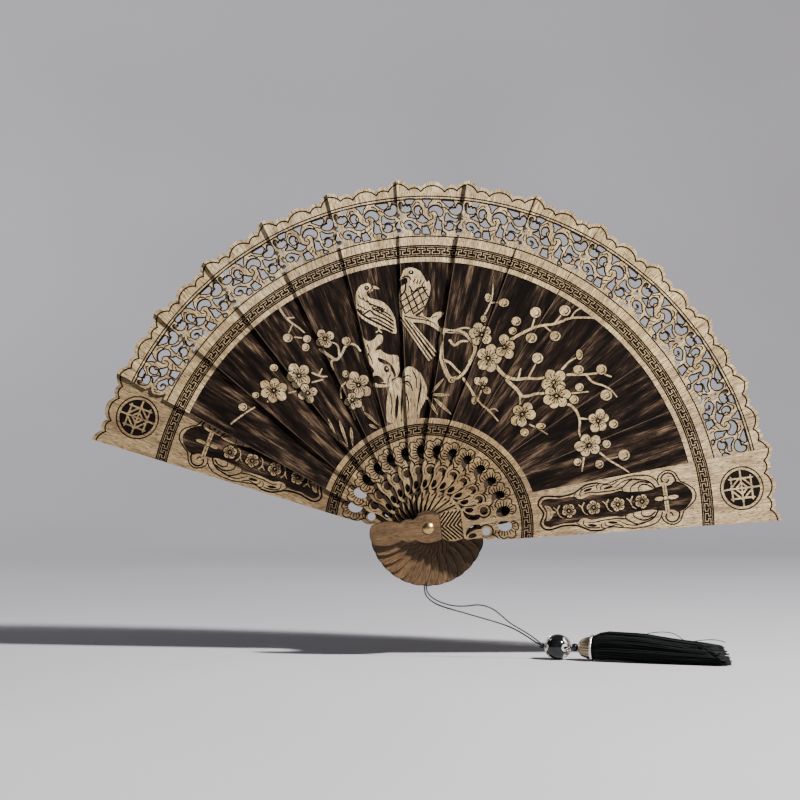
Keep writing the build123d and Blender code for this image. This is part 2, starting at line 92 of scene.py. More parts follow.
# ---- the cord's two free strands, on the CAD route ----------------------------------------------
STRAND_A = [
    (-1.95, 0, -34.5), (-1.9, -0.1, -37.5), (1.0, -0.3, -41.0), (5.6, -0.6, -43.8), (12.5, -0.9, -46.0),
    (21.0, -1.2, -48.3), (31.0, -1.5, -51.2), (41.0, -1.7, -54.0), (49.0, -1.7, -57.2),
    (55.5, -1.4, -61.1), (60.6, -0.9, -64.6), (63.6, -0.45, -66.1)]
STRAND_B = [
    (-0.9, 0, -34.5), (-0.5, -0.3, -36.8), (2.6, -1.0, -39.9), (7.4, -1.8, -42.3), (14.0, -2.2, -44.2),
    (21.6, -2.4, -44.3), (29.2, -2.5, -43.2), (36.3, -2.7, -45.4), (41.6, -2.9, -49.6),
    (46.2, -3.0, -53.8), (51.8, -2.8, -57.0), (57.4, -2.4, -60.4), (61.8, -1.6, -63.7),
    (64.2, -0.75, -65.8)]
CORD_RADIUS = 0.4


def add_strand(name, node, route):
    curve = bpy.data.curves.new(name, "CURVE")
    curve.dimensions = "3D"
    curve.bevel_depth = 1.0    # times each point's radius, which then also gives the curve its true box
    curve.bevel_resolution = 3
    curve.resolution_u = 10
    curve.use_fill_caps = True
    line = curve.splines.new("NURBS")
    line.points.add(len(route) - 1)
    for point, (x, y, z) in zip(line.points, route):
        point.co = (x * MM, y * MM, z * MM, 1)
        point.radius = CORD_RADIUS * MM
    line.order_u = 3
    line.use_endpoint_u = True
    strand = placed(name, curve)
    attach(strand, "front_guard")
    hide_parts(node)
    return strand


strands = [
    add_strand("free_strand_a", "cord_strand_a", STRAND_A),
    add_strand("free_strand_b", "cord_strand_b", STRAND_B)]


# ---- small shapes, all as lists of (x, r) points ----------------------------------------------
def smooth(points, steps, closed=False):
    """Catmull-Rom curve through the points."""
    points = [np.array(p, float) for p in points]
    count = len(points)
    out = []
    for i in range(count if closed else count - 1):
        if closed:
            a, b, c, d = (points[(i + k) % count] for k in (-1, 0, 1, 2))
        else:
            b, c = points[i], points[i + 1]
            a = points[i - 1] if i else 2 * b - c
            d = points[i + 2] if i + 2 < count else 2 * c - b
        for k in range(steps):
            t = k / steps
            out.append(0.5 * (2 * b + (c - a) * t + (2 * a - 5 * b + 4 * c - d) * t * t
                              + (3 * b - a - 3 * c + d) * t ** 3))
    if not closed:
        out.append(points[-1])
    return out


def stroke(points, width, end_width=None, curved=True):
    """A line of that width, narrowing evenly to end_width, with rounded ends."""
    line = [np.array(p, float) for p in points]
    if curved and len(points) > 2:
        line = smooth(points, steps=4)
    end_width = width if end_width is None else end_width
    count = len(line)
    left, right = [], []
    for i, p in enumerate(line):
        tangent = line[min(i + 1, count - 1)] - line[max(i - 1, 0)]
        tangent = tangent / (np.linalg.norm(tangent) or 1)
        normal = np.array((-tangent[1], tangent[0]))
        half = (width + (end_width - width) * i / (count - 1)) / 2
        left.append(p + normal * half)
        right.append(p - normal * half)
        if i == 0:
            start_cap = p - tangent * half
        end_cap = p + tangent * half
    return left + [end_cap] + right[::-1] + [start_cap]


def direction(degrees):
    """Cosine and sine."""
    return math.cos(math.radians(degrees)), math.sin(math.radians(degrees))


def ellipse(x, r, rx, ry, turn=0.0, count=22):
    c, s = direction(turn)
    out = []
    for k in range(count):
        u, v = rx * math.cos(2 * math.pi * k / count), ry * math.sin(2 * math.pi * k / count)
        out.append((x + u * c - v * s, r + u * s + v * c))
    return out


def blob(*points):
    return smooth(points, closed=True, steps=4)


OUTLINE_SPACING = 0.3


def grown(polygon, distance):
    """The outline moved outwards evenly, without the loops that its tight hollows would make."""
    p = np.array(polygon, float)
    if area(p) < 0:
        p = p[::-1]
    dense = []
    for a, b in zip(p, np.roll(p, -1, 0)):
        count = max(1, int(np.linalg.norm(b - a) / OUTLINE_SPACING))
        dense += [a + (b - a) * k / count for k in range(count)]
    dense = np.array(dense)
    tangent = np.roll(dense, -1, 0) - np.roll(dense, 1, 0)
    tangent /= np.maximum(np.linalg.norm(tangent, axis=1, keepdims=True), 1e-9)
    moved = dense + distance * np.stack((tangent[:, 1], -tangent[:, 0]), 1)
    nearest = np.linalg.norm(moved[:, None] - dense[None], axis=2).min(1)
    return moved[nearest > 0.95 * distance]


def area(polygon):
    p = np.asarray(polygon, float)
    q = np.roll(p, -1, 0)
    return 0.5 * float((p[:, 0] * q[:, 1] - q[:, 0] * p[:, 1]).sum())


def mirrored(shapes):
    return shapes + [([(-x, r) for x, r in polygon], kind) for polygon, kind in shapes]


def polar(s, r):
    """A point s along the arc of radius r about the rivet."""
    return r * math.sin(s / r), r * math.cos(s / r)


def arc_band(low, high):
    """A strip between two radii, wider than any stick."""
    reach, count = 26.0, 18
    sides = [-reach + 2 * reach * k / count for k in range(count + 1)]
    return [polar(s, low) for s in sides] + [polar(s, high) for s in reversed(sides)]


# ---- what a polygon is: its name gives depth below the stick's face and its surface -----------
WOOD, LINE, FIELD, MARGIN, HEAD, RIM, OPEN = "wood", "line", "field", "margin", "head", "rim", "open"
DEPTH = {WOOD: 0.0, LINE: 0.22, FIELD: 0.30, MARGIN: 0.12, HEAD: -HEAD_PROUD, RIM: -HEAD_PROUD}
SURFACE = {WOOD: 0, HEAD: 6, LINE: 1, FIELD: 2, MARGIN: 3, RIM: 4}
SIDE_SURFACE, BACK_SURFACE = 4, 5
# the dark rim round each pivot head is painted shade, for the shade along the head's edge
RIM_WIDTH = 0.4


# ---- bands that every stick has --------------------------------------------------------------
KEY_PERIOD = 5.63
KEY_WIDTH = 0.33


def key_band(low, high, phase):
    """A meander of light lines on a sunk dark band, between two thin light lines."""
    shapes = [(arc_band(low, high), LINE)]
    rail = 0.17
    for r in (low + 0.95, high - 0.95):
        shapes.append((arc_band(r - rail / 2, r + rail / 2), WOOD))
    floor_r, height = low + 1.95, high - low - 3.9
    turn_r = floor_r + height * 0.58
    half = KEY_WIDTH / 2

    def bar(s0, r0, s1, r1):
        s0, s1 = min(s0, s1) - half, max(s0, s1) + half
        r0, r1 = min(r0, r1) - half, max(r0, r1) + half
        return [polar(s0, r0), polar(s1, r0), polar(s1, r1), polar(s0, r1)]

    top_r = floor_r + height
    for k in range(-5, 6):
        s = phase + k * KEY_PERIOD
        corners = [
            (s, floor_r), (s + 4.26, floor_r), (s + 4.26, turn_r), (s + 2.89, turn_r), (s + 2.89, top_r),
            (s + 7.15, top_r), (s + 7.15, turn_r), (s + KEY_PERIOD, turn_r), (s + KEY_PERIOD, floor_r)]
        for (s0, r0), (s1, r1) in zip(corners, corners[1:]):
            shapes.append((bar(s0, r0, s1, r1), WOOD))
    return shapes


TIP_LOBES = [
    ((20.76, 197.6), (17.0, 196.8), (13.8, 194.1)), ((13.8, 194.1), (10.4, 195.4), (6.8, 193.4)),
    ((6.8, 193.4), (0.0, 196.9), (-6.8, 193.4)), ((-6.8, 193.4), (-10.4, 195.4), (-13.8, 194.1)),
    ((-13.8, 194.1), (-17.0, 196.8), (-20.76, 197.6)),
]


def tip_line():
    """The engraved line that follows the scalloped tip."""
    shapes = []
    drop = 2.3
    for start, middle, end in TIP_LOBES:
        points = [(start[0], start[1] - drop), (middle[0], middle[1] - drop), (end[0], end[1] - drop)]
        (x0, r0), (x1, r1), (x2, r2) = points
        # the circle through the three points
        d = 2 * (x0 * (r1 - r2) + x1 * (r2 - r0) + x2 * (r0 - r1))
        cx = ((x0**2 + r0**2) * (r1 - r2) + (x1**2 + r1**2) * (r2 - r0) + (x2**2 + r2**2) * (r0 - r1)) / d
        cr = ((x0**2 + r0**2) * (x2 - x1) + (x1**2 + r1**2) * (x0 - x2) + (x2**2 + r2**2) * (x1 - x0)) / d
        radius = math.hypot(x0 - cx, r0 - cr)
        a0, a2 = math.atan2(r0 - cr, x0 - cx), math.atan2(r2 - cr, x2 - cx)
        line = [(cx + radius * math.cos(a0 + (a2 - a0) * k / 12),
                 cr + radius * math.sin(a0 + (a2 - a0) * k / 12))
                for k in range(13)]
        shapes.append((stroke(line, 0.85, curved=False), LINE))
    return shapes


def leaf_grooves():
    """Straight grooves above a leaf's head, and a dark pocket of painted shade, where the neighbour's great
    eye shows this leaf in shade.
    """
    shapes = []
    for x in (7.4, 5.3, 3.2, 1.1):
        for side in (1, -1):
            shapes.append((stroke([(side * 0.8 * x, 6.6), (side * x, 18.4)], 0.75, 1.0), LINE))
    # painted shade: a brown patch with a black top, standing for the shade seen through the neighbour's
    # great eye
    shapes.append((ellipse(4.9, 42.6, 3.7, 4.9), MARGIN))
    shapes.append((ellipse(5.3, 44.6, 3.2, 2.9), LINE))
    return shapes


def chevrons():
    """Nested V grooves above the pivot head, under one straight line."""
    top, pitch, reach, rise = 18.9, 2.2, 7.7, 7.1
    shapes = [(stroke([(-9.4, top), (9.4, top)], 0.4), LINE)]
    for k in range(8):
        tip = 1.0 + pitch * k
        part = min(1.0, (top - tip) / rise)
        for side in (1, -1):
            shapes.append((stroke([(0, tip), (side * reach * part, tip + rise * part)], 0.95), LINE))
    return shapes


def peacock_eyes():
    """Hatching and scalloped contour round the great eyes, and burnt hollows round the small ones."""
    contour = [(2.3, 47.9), (3.4, 49.9), (6.4, 50.2), (7.6, 48.3), (10.2, 48.3), (11.4, 45.9), (10.4, 43.8),
               (11.2, 41.6), (9.6, 39.4), (6.9, 38.6)]
    right = [(stroke(contour, 0.7), LINE)]
    for k in range(10):
        c, s = direction(118 - 18 * k)
        hatch = [(4.1 + 3.0 * c, 42.8 + 4.1 * s), (4.3 + 5.5 * c, 42.9 + 6.0 * s)]
        right.append((stroke(hatch, 0.7, 0.5), LINE))
    # the wedge between the two kinds of eye
    right.append((blob(
        (10.9, 38.6), (9.4, 36.9), (8.2, 35.2), (7.4, 36.6), (5.4, 37.6), (7.2, 37.5), (8.3, 36.7),
        (9.2, 37.9)), LINE))
    # a light ring round the round eye, in a burnt hollow that runs down to the slits
    right.append((blob(
        (5.6, 36.3), (3.2, 35.4), (1.7, 32.8), (2.0, 30.3), (3.6, 28.6), (5.4, 27.6), (7.4, 28.3),
        (8.6, 29.8), (9.4, 32.2), (8.2, 35.4)), LINE))
    right.append((ellipse(5.8, 32.2, 3.25, 3.25), WOOD))
    right.append((blob(
        (4.5, 29.9), (4.2, 27.2), (5.2, 26.4), (6.6, 27.6), (8.2, 28.2), (8.9, 29.6), (7.2, 29.3)), WOOD))
    # the crescent beside the middle, and the hollow in the little leaf beside it
    right.append((blob(
        (7.4, 20.5), (5.6, 20.6), (3.8, 21.4), (2.0, 23.2), (1.2, 26.2), (1.7, 28.8), (3.2, 30.0),
        (4.1, 28.6), (4.2, 26.0), (4.9, 23.6), (6.0, 21.9)), LINE))
    right.append((blob(
        (6.0, 25.4), (7.2, 26.6), (8.3, 25.4), (8.5, 23.2), (7.9, 21.8), (6.8, 22.0), (5.9, 23.5)), LINE))
    right.append((stroke([(1.3, 38.5), (2.2, 37.0), (1.6, 35.4)], 0.5, 0.3), LINE))
    return mirrored(right)


def common_bands(key_phase, outline, lower):
    """What every stick has, round its own lower part. The pivot head is proud, with a dark rim of painted
    shade round it.
    """
    shapes = tip_line() + peacock_eyes() + lower
    shapes += [(arc_band(151.2, 153.9), WOOD), (arc_band(59.5, 62.2), WOOD)]
    shapes += key_band(153.9, 160.8, key_phase)
    shapes += key_band(52.2, 59.2, key_phase + 1.9)
    # painted shade: a dark rim round the proud pivot head, for the shade along each head's edge
    shapes.append(([(-12, -40), (12, -40), (12, HEAD_TOP), (-12, HEAD_TOP)], RIM))
    inside = [(x, r) for x, r in grown(outline, -RIM_WIDTH) if r < HEAD_TOP - RIM_WIDTH]
    shapes.append((inside, HEAD))
    return shapes


# ---- the band of scrolls on the leaves --------------------------------------------------------
SCROLL_GROOVES = [
    ([(-7.2, 182.6), (-6.1, 181.7), (-5.7, 180.2), (-5.7, 178.4)], 0.5, 0.4),
    ([(-10.9, 186.0), (-11.3, 184.8), (-11.9, 183.6), (-12.4, 182.6)], 0.45, 0.3),
    ([(-7.6, 184.4), (-8.8, 185.2), (-10.0, 184.2), (-10.9, 182.9), (-12.2, 181.9)], 0.5, 0.35),
    ([(2.7, 185.1), (4.1, 184.9), (5.3, 183.5), (5.8, 182.3), (7.3, 182.2), (8.4, 181.2),
      (9.6, 181.2)], 0.5, 0.35),
    ([(12.5, 184.6), (12.6, 183.2), (12.5, 182.0)], 0.45, 0.3),
    ([(-0.3, 178.2), (0.3, 177.2), (0.1, 175.6), (-1.6, 174.9), (-2.6, 174.6)], 0.5, 0.4),
    ([(-2.0, 179.2), (-1.9, 177.6), (-0.9, 176.8)], 0.5, 0.35),
    ([(-3.0, 173.9), (-3.0, 172.6), (-2.3, 171.5)], 0.4, 0.3),
    ([(0.6, 173.2), (-0.8, 172.3), (-2.2, 171.5)], 0.45, 0.3),
    ([(0.2, 171.0), (-0.7, 170.0), (-1.3, 168.9)], 0.45, 0.3),
    ([(1.0, 169.9), (0.9, 168.6), (1.5, 167.4)], 0.45, 0.3),
    ([(2.9, 178.7), (3.2, 177.4), (3.1, 176.2)], 0.4, 0.3),
    ([(6.7, 173.0), (6.9, 171.9), (7.9, 171.5)], 0.45, 0.35),
    ([(12.9, 172.6), (12.6, 171.0), (13.3, 171.9), (14.6, 172.0)], 0.4, 0.3),
    ([(10.0, 169.0), (12.0, 169.4), (13.6, 169.6), (15.0, 170.9)], 0.45, 0.3),
    ([(-18.0, 173.8), (-18.0, 172.4), (-17.6, 171.2), (-16.9, 170.4)], 0.45, 0.3),
    ([(-17.2, 174.4), (-16.9, 173.2), (-16.2, 172.5)], 0.45, 0.3),
    ([(-11.6, 179.4), (-11.9, 180.4)], 0.35, 0.2),
    ([(17.6, 184.8), (16.0, 185.5), (14.0, 185.2)], 0.35, 0.2),
]
SCROLL_LOW, SCROLL_HIGH = 164.0, 187.5
OUTLINE_WIDTH = 0.66


def burnt_edges_and_shade(hole):
    """The burnt edge of one piercing, plus a copy moved up and to the left that paints shade on that side;
    a curled one is copied four ways, since it would run into itself.
    """
    hull = [hole[k] for k in convex_hull_2d(hole)]
    if area(hole) > 0.8 * abs(area(hull)):
        # painted shade: the second, shifted outline darkens the upper left side of each hole
        return [grown(hole, OUTLINE_WIDTH), grown([(x - 0.15, r + 0.3) for x, r in hole], OUTLINE_WIDTH)]
    step = 0.75 * OUTLINE_WIDTH
    return [[(x + a * step, r + b * step) for x, r in hole] for a in (1, -1) for b in (1, -1)]


def scroll_band(piercings):
    """Burnt contour lines in the band of scrolls, round every piercing (with painted shade on one side) and
    in the grooves.
    """
    shapes = [(arc_band(188.2, 188.95), LINE), (arc_band(186.5, 187.4), LINE),
              (arc_band(165.4, 166.15), LINE)]
    for hole in piercings:
        middle = np.mean(hole, 0)
        if SCROLL_LOW < middle[1] < SCROLL_HIGH:
            shapes += [(outline, LINE) for outline in burnt_edges_and_shade(hole)]
    for points, width, end_width in SCROLL_GROOVES:
        shapes.append((stroke(points, 1.5 * width, 1.5 * end_width), LINE))
    return shapes


# ---- the two guards' own ornament -------------------------------------------------------------
MEDALLION_R = 177.6
MEDALLION_RADIUS = 12.4


def medallion():
    """A round lattice: a ring round a dark disc, with a light diamond fret and four small squares."""
    def ring(radius, kind):
        return ellipse(0, MEDALLION_R, radius, radius, count=56), kind

    shapes = [ring(MEDALLION_RADIUS, LINE), ring(11.65, WOOD), ring(10.35, LINE)]

    def bar(x0, r0, x1, r1, width=0.95):
        line = [(x0, MEDALLION_R + r0), (x1, MEDALLION_R + r1)]
        return stroke(line, width, curved=False), WOOD

    reach = 10.5
    shapes += [bar(-reach, 0, reach, 0), bar(0, -reach, 0, reach)]
    for size in (3.3, 6.6):
        corners = [(size, 0), (0, size), (-size, 0), (0, -size), (size, 0)]
        shapes += [bar(*start, *end) for start, end in zip(corners, corners[1:])]
    for side_x in (1, -1):
        for side_r in (1, -1):
            x, r = side_x * 5.6, side_r * 5.6
            shapes.append(bar(x, r * 0.25, x, r * 1.2))
            shapes.append(bar(x * 0.25, r, x * 1.2, r))
    return shapes


PANEL_HALF = [
    (0, 149.6), (-3.9, 148.2), (-7.1, 144.8), (-8.5, 141.5), (-8.6, 138.5), (-7.4, 136.0), (-7.0, 133.0),
    (-6.6, 129.5), (-5.6, 126.5), (-5.4, 122.0), (-5.8, 117.0), (-6.4, 112.4), (-7.4, 109.0), (-6.6, 104.5),
    (-6.5, 98.0), (-6.9, 92.0), (-5.6, 88.6), (-5.6, 86.0), (-7.0, 83.5), (-7.4, 80.0), (-7.1, 75.0),
    (-7.7, 70.6), (-7.8, 67.0), (-6.4, 64.9), (-4.5, 64.7), (-2.2, 66.0), (0, 66.8)]
ARCH_HALF = [
    (0, 151.7), (-3.2, 150.6), (-5.8, 147.6), (-7.6, 144.9), (-8.6, 143.6), (-10.5, 142.7), (-13.3, 141.2),
    (-14.9, 138.9), (-15.2, 136.4), (-14.1, 133.7), (-12.3, 131.7), (-10.2, 131.0)]
WAIST_HALF = [
    (-13.3, 97.2), (-13.2, 93.5), (-12.6, 90.0), (-10.9, 86.9), (-9.3, 83.7), (-8.5, 80.0), (-8.3, 75.0),
    (-9.1, 70.6), (-9.4, 67.0), (-8.2, 64.2), (-5.2, 62.9), (-2.1, 64.5), (0.2, 65.4)]
ACANTHUS_LINES = [
    ([(-7.6, 131.6), (-10.2, 130.6), (-12.4, 128.6), (-13.8, 125.6), (-14.6, 121.0)], 0.5, 0.5),
    ([(-14.6, 121.0), (-14.6, 115.0), (-13.5, 108.5), (-12.3, 103.4), (-12.4, 100.0),
      (-13.3, 97.0)], 0.5, 0.5),
    ([(-4.6, 129.9), (-7.4, 128.7), (-9.8, 126.8), (-11.6, 123.4), (-12.2, 119.0)], 0.8, 0.5),
    ([(-6.9, 127.6), (-8.7, 125.0), (-9.0, 121.8), (-7.6, 119.9), (-5.6, 120.1)], 0.7, 0.4),
    ([(-9.6, 126.2), (-10.9, 121.4), (-9.8, 117.9), (-8.0, 115.6), (-5.9, 115.4)], 0.7, 0.4),
    ([(-12.2, 121.4), (-12.6, 117.0), (-10.6, 113.2), (-8.2, 110.8), (-6.4, 111.3)], 0.7, 0.4),
    ([(-13.2, 116.8), (-12.4, 112.0), (-10.8, 109.0), (-9.2, 106.6)], 0.5, 0.3),
    ([(-8.9, 111.2), (-8.0, 107.0), (-7.9, 102.0), (-8.0, 97.0), (-8.5, 92.5), (-8.1, 89.6)], 0.55, 0.4),
    ([(-12.8, 108.8), (-11.2, 105.4), (-11.8, 101.6), (-10.8, 99.0), (-9.2, 98.8)], 0.5, 0.4),
    ([(-12.9, 98.6), (-11.6, 96.6), (-9.6, 97.0)], 0.5, 0.4),
    ([(-11.9, 95.6), (-11.4, 91.0), (-10.2, 88.0), (-8.4, 86.8), (-6.8, 87.2)], 0.55, 0.4),
    ([(-8.8, 84.6), (-7.4, 83.2), (-6.6, 84.6)], 0.45, 0.3),
]


def cartouche():
    """The sunk panel with scrolled sides, a four-petal flower at its top and four blossoms in it."""
    def both_sides(points):
        return points + [(-x, r) for x, r in reversed(points[1:-1])]

    half = [
        (stroke(ARCH_HALF, 0.75), LINE), (stroke(WAIST_HALF, 1.05), LINE),
        (ellipse(-10.8, 136.7, 3.9, 3.9), WOOD),
        (stroke([(-8.5, 141.2), (-10.4, 140.9), (-13.0, 139.4), (-13.8, 136.6), (-12.6, 134.1),
                 (-10.4, 133.2), (-8.6, 134.6), (-8.7, 136.6), (-10.1, 137.3)], 1.0, 0.8), LINE),
    ]
    half += [(stroke(points, 1.4 * width, 1.4 * end_width), LINE)
             for points, width, end_width in ACANTHUS_LINES]
    half += [(ellipse(-9.9, 103.2, 0.75, 2.7, 8), LINE), (ellipse(-10.0, 91.6, 0.8, 2.6, 12), LINE)]
    shapes = [(smooth(both_sides(PANEL_HALF), closed=True, steps=3), FIELD)] + mirrored(half)
    shapes += [
        (stroke([(-8.2, 134.6), (8.2, 134.6)], 2.3, curved=False), WOOD),
        (stroke([(-7.6, 134.5), (-2.0, 134.5)], 0.35, curved=False), LINE),
        (stroke([(2.0, 134.5), (7.6, 134.5)], 0.35, curved=False), LINE),
        (ellipse(0, 138.4, 1.5, 3.4), LINE), (ellipse(0, 138.6, 1.15, 3.1), WOOD),
        (ellipse(0, 130.9, 1.5, 2.9), LINE), (ellipse(0, 130.8, 1.15, 2.6), WOOD),
        (ellipse(0, 134.4, 1.7, 1.5), LINE), (ellipse(0, 134.4, 1.25, 1.1), WOOD),
        (blob((-4.2, 66.3), (-3.8, 68.6), (-2.2, 70.0), (-0.9, 70.6), (0, 72.4), (0.9, 70.6), (2.2, 70.0),
              (3.8, 68.6), (4.2, 66.3), (2.0, 67.1), (0, 67.4), (-2.0, 67.1)), WOOD),
        (stroke([(-3.0, 67.6), (-1.6, 69.0), (0, 69.4), (1.6, 69.0), (3.0, 67.6)], 0.3), LINE),
    ]
    for r, turn in ((121.0, 10), (107.4, -25), (93.6, 40), (79.6, 0)):
        ways = [direction(turn + 72 * k) for k in range(5)]
        shapes += blossom((0.2, r), [(2.5 * c, 2.5 * s) for c, s in ways], 1.55)
        twig = [(-3.2, r - 5.0), (-0.6, r - 6.4), (2.4, r - 5.6), (3.8, r - 3.8)]
        shapes.append((stroke(twig, 0.8, 0.4), WOOD))
        shapes.append((stroke([(-0.6, r - 6.4), (-2.6, r - 8.4)], 0.9, 0.4), WOOD))
    return shapes


def guard_shapes(outline):
    return common_bands(0.4, outline, chevrons()) + medallion() + cartouche()


# ---- the picture carved across the twelve leaves ------------------------------------------------
# These points are (x, z) across the open fan; each leaf takes the part that lies on it.
def petal(cx, cz, dx, dz, radius, margin=0.0):
    """A rounded petal that narrows towards the flower's centre."""
    distance = math.hypot(dx, dz)
    ux, uz = dx / distance, dz / distance
    tip, wide = distance + 0.95 * radius + margin, 1.14 * radius + margin
    outline = [(0.6 - margin, 0), (0.42 * distance, -0.62 * wide), (0.85 * distance, -wide),
               (0.84 * tip, -0.80 * wide), (tip, 0), (0.84 * tip, 0.80 * wide), (0.85 * distance, wide),
               (0.42 * distance, 0.62 * wide)]
    return blob(*[(cx + a * ux - b * uz, cz + a * uz + b * ux) for a, b in outline])


def blossom(centre, petals, radius, relative=True):
    """A plum blossom: petals at those places round the centre, a small eye and stamens."""
    cx, cz = centre
    shapes, spots = [], []
    for dx, dz in petals:
        if not relative:
            dx, dz = dx - cx, dz - cz
        spots.append((math.atan2(dz, dx), math.hypot(dx, dz)))
        shapes.append((petal(cx, cz, dx, dz, radius, 0.55), LINE))
        shapes.append((petal(cx, cz, dx, dz, radius), WOOD))
    for turn, distance in spots:
        for spread in (-0.42, 0, 0.42):
            reach = min(distance, 1.5 * radius) * (1.0 if spread else 1.2)
            line = [(cx + d * math.cos(turn + spread), cz + d * math.sin(turn + spread))
                    for d in (0.8, reach)]
            shapes.append((stroke(line, 0.55, 0.4, curved=False), LINE))
            shapes.append((ellipse(*line[1], 0.42, 0.42, count=8), LINE))
    shapes.append((ellipse(cx, cz, 1.15, 1.15, count=12), LINE))
    shapes.append((ellipse(cx, cz, 0.5, 0.5, count=10), WOOD))
    return shapes


def bud(x, z, rx, rz):
    turn = 20
    shapes = [(ellipse(x, z, rx + 0.5, rz + 0.5), LINE), (ellipse(x, z, rx, rz), WOOD)]
    arc = [(x + 0.62 * rx * c, z + 0.62 * rz * s)
           for c, s in (direction(a + turn) for a in (-110, -60, -10, 40))]
    shapes.append((stroke(arc, 0.75, 0.45), LINE))
    return shapes


def branch(points, width, end_width=None):
    end_width = width * 0.6 if end_width is None else end_width
    return [(stroke(points, width, end_width), WOOD)]


def engraved(points, width, end_width=None):
    end_width = width if end_width is None else end_width
    return stroke(points, 1.65 * width, 1.65 * end_width), LINE


def scales(rows, spacing, size):
    """Small curved strokes in rows, as on a bird's breast; rows are (x, z, count, direction)."""
    shapes = []
    for x, z, count, turn in rows:
        c, s = direction(turn)
        for k in range(count):
            px, pz = x + k * spacing * c, z + k * spacing * s
            ends = [direction(turn + a) for a in (-20, -65, -110, -160)]
            shapes.append((stroke([(px + size * u, pz + size * v) for u, v in ends], 0.7), LINE))
    return shapes


def left_bird():
    body = blob(
        (-34.5, 139), (-38, 138), (-40.3, 135), (-41.2, 131), (-40.8, 127), (-40, 122), (-37, 118.5),
        (-32, 115.5), (-27, 113), (-24, 112.3), (-19.5, 110.3), (-17.8, 111), (-18.2, 115), (-19, 119.5),
        (-22, 125), (-26, 128.5), (-30, 129.8), (-33, 130.6), (-34.4, 132.6), (-32.8, 134.2),
        (-31.4, 134.6), (-31.0, 135.8), (-27.6, 135.6), (-29, 137.1), (-31.5, 137.6), (-33, 138.4))
    shapes = [(body, WOOD), (ellipse(-34.8, 136.3, 1.45, 1.3), LINE),
              (ellipse(-34.9, 136.5, 0.5, 0.45, count=8), WOOD)]
    shapes += [
        engraved([(-32.2, 137.8), (-31.6, 136.4), (-32.8, 135.2)], 0.4),
        engraved([(-33.9, 131.8), (-34.6, 133.4), (-33.4, 134.6)], 0.5),
        engraved([(-39.6, 132.0), (-38.2, 130.2), (-36.4, 129.8)], 0.4),
        engraved([(-37.0, 130.4), (-35.4, 128.6), (-33.8, 128.6)], 0.4),
        engraved([(-34.8, 129.2), (-32.8, 127.2), (-29.4, 126.0), (-25.6, 124.6)], 0.45),
        engraved([(-40.2, 124.0), (-36.4, 120.4), (-31, 117.4), (-25.4, 114.6), (-20.2, 111.6)], 0.75),
        engraved([(-36.6, 121.2), (-33.0, 123.4), (-30.6, 121.4), (-24.0, 118.2), (-19.6, 115.2)], 0.6),
        engraved([(-33.4, 119.4), (-29, 118.6), (-24, 115.8), (-19.6, 113.2)], 0.5),
        engraved([(-31.4, 124.4), (-28.4, 122.8), (-24.0, 120.4), (-19.8, 117.4)], 0.55),
        engraved([(-29.0, 125.0), (-25.0, 122.8), (-21.0, 120.2)], 0.5)]
    shapes += scales([(-32.4, 127.8, 4, -22), (-30.4, 125.6, 3, -22)], 2.5, 1.2)
    shapes += scales([(-38.8, 126.8, 3, -30), (-38.8, 124.4, 2, -30)], 1.9, 0.95)
    shapes += branch([(-28.2, 114.4), (-28.0, 112.2), (-29.6, 111.0)], 0.9)
    return shapes + branch([(-28.0, 112.2), (-26.2, 110.8)], 0.8)


def right_bird():
    body = blob(
        (-10, 147.9), (-13.6, 146.6), (-14.7, 144), (-15.6, 142), (-16.4, 140.3), (-13.6, 141.9),
        (-11.9, 141.6), (-11.7, 139.2), (-13.2, 138.3), (-15.8, 136), (-16.5, 131), (-16.1, 125),
        (-15.2, 120.5), (-9, 120.3), (-6, 121.8), (-3, 124), (-0.8, 128), (1, 133), (1.4, 137),
        (0.6, 140.3), (-0.8, 139.6), (-2.6, 143), (-5, 146.2))
    shapes = [(body, WOOD), (ellipse(-9.6, 145.1, 1.6, 1.2), LINE),
              (ellipse(-9.7, 145.3, 0.5, 0.45, count=8), WOOD)]
    shapes += [
        engraved([(-14.4, 142.1), (-12.4, 142.9), (-10.6, 142.4), (-10.0, 141.0)], 0.55),
        engraved([(-8.2, 139.6), (-7.4, 141.2)], 0.4), engraved([(-6.6, 138.8), (-5.6, 140.8)], 0.4),
        engraved([(-5.0, 138.6), (-3.8, 140.8)], 0.4), engraved([(-3.2, 138.0), (-2.0, 140.2)], 0.4),
        engraved([(-10.6, 137.4), (-8.4, 134.0), (-5.6, 136.2), (-1.6, 136.6)], 0.5),
        engraved([(-12.6, 139.0), (-13.2, 134.6), (-15.6, 131.4)], 0.6),
        engraved([(-3.4, 137.6), (-1.2, 133.4), (0.4, 131.0)], 0.5)]
    # the breast: a lattice of two sets of lines
    for start, end in (((-12.8, 133.4), (-8.6, 122.2)), ((-9.8, 134.6), (-5.4, 123.6)),
                       ((-5.8, 135.4), (-2.4, 126.8)), ((-15.6, 128.8), (-13.2, 122.0))):
        shapes.append(engraved([start, end], 0.5))
    for start, end in (((-15.6, 124.2), (-0.4, 135.4)), ((-12.8, 121.6), (-0.2, 130.4)),
                       ((-15.8, 128.0), (-4.0, 136.2)), ((-8.4, 121.4), (-2.2, 125.8))):
        shapes.append(engraved([start, end], 0.45))
    # the tail, four long feathers below the branch
    for start, end in (((-15.6, 118.4), (0.6, 95.0)), ((-15.4, 120.6), (2.0, 96.0)),
                       ((-13.0, 119.8), (3.8, 97.6)), ((-10.4, 118.0), (4.6, 99.8))):
        shapes += branch([start, end], 0.65, 0.95)
    return shapes


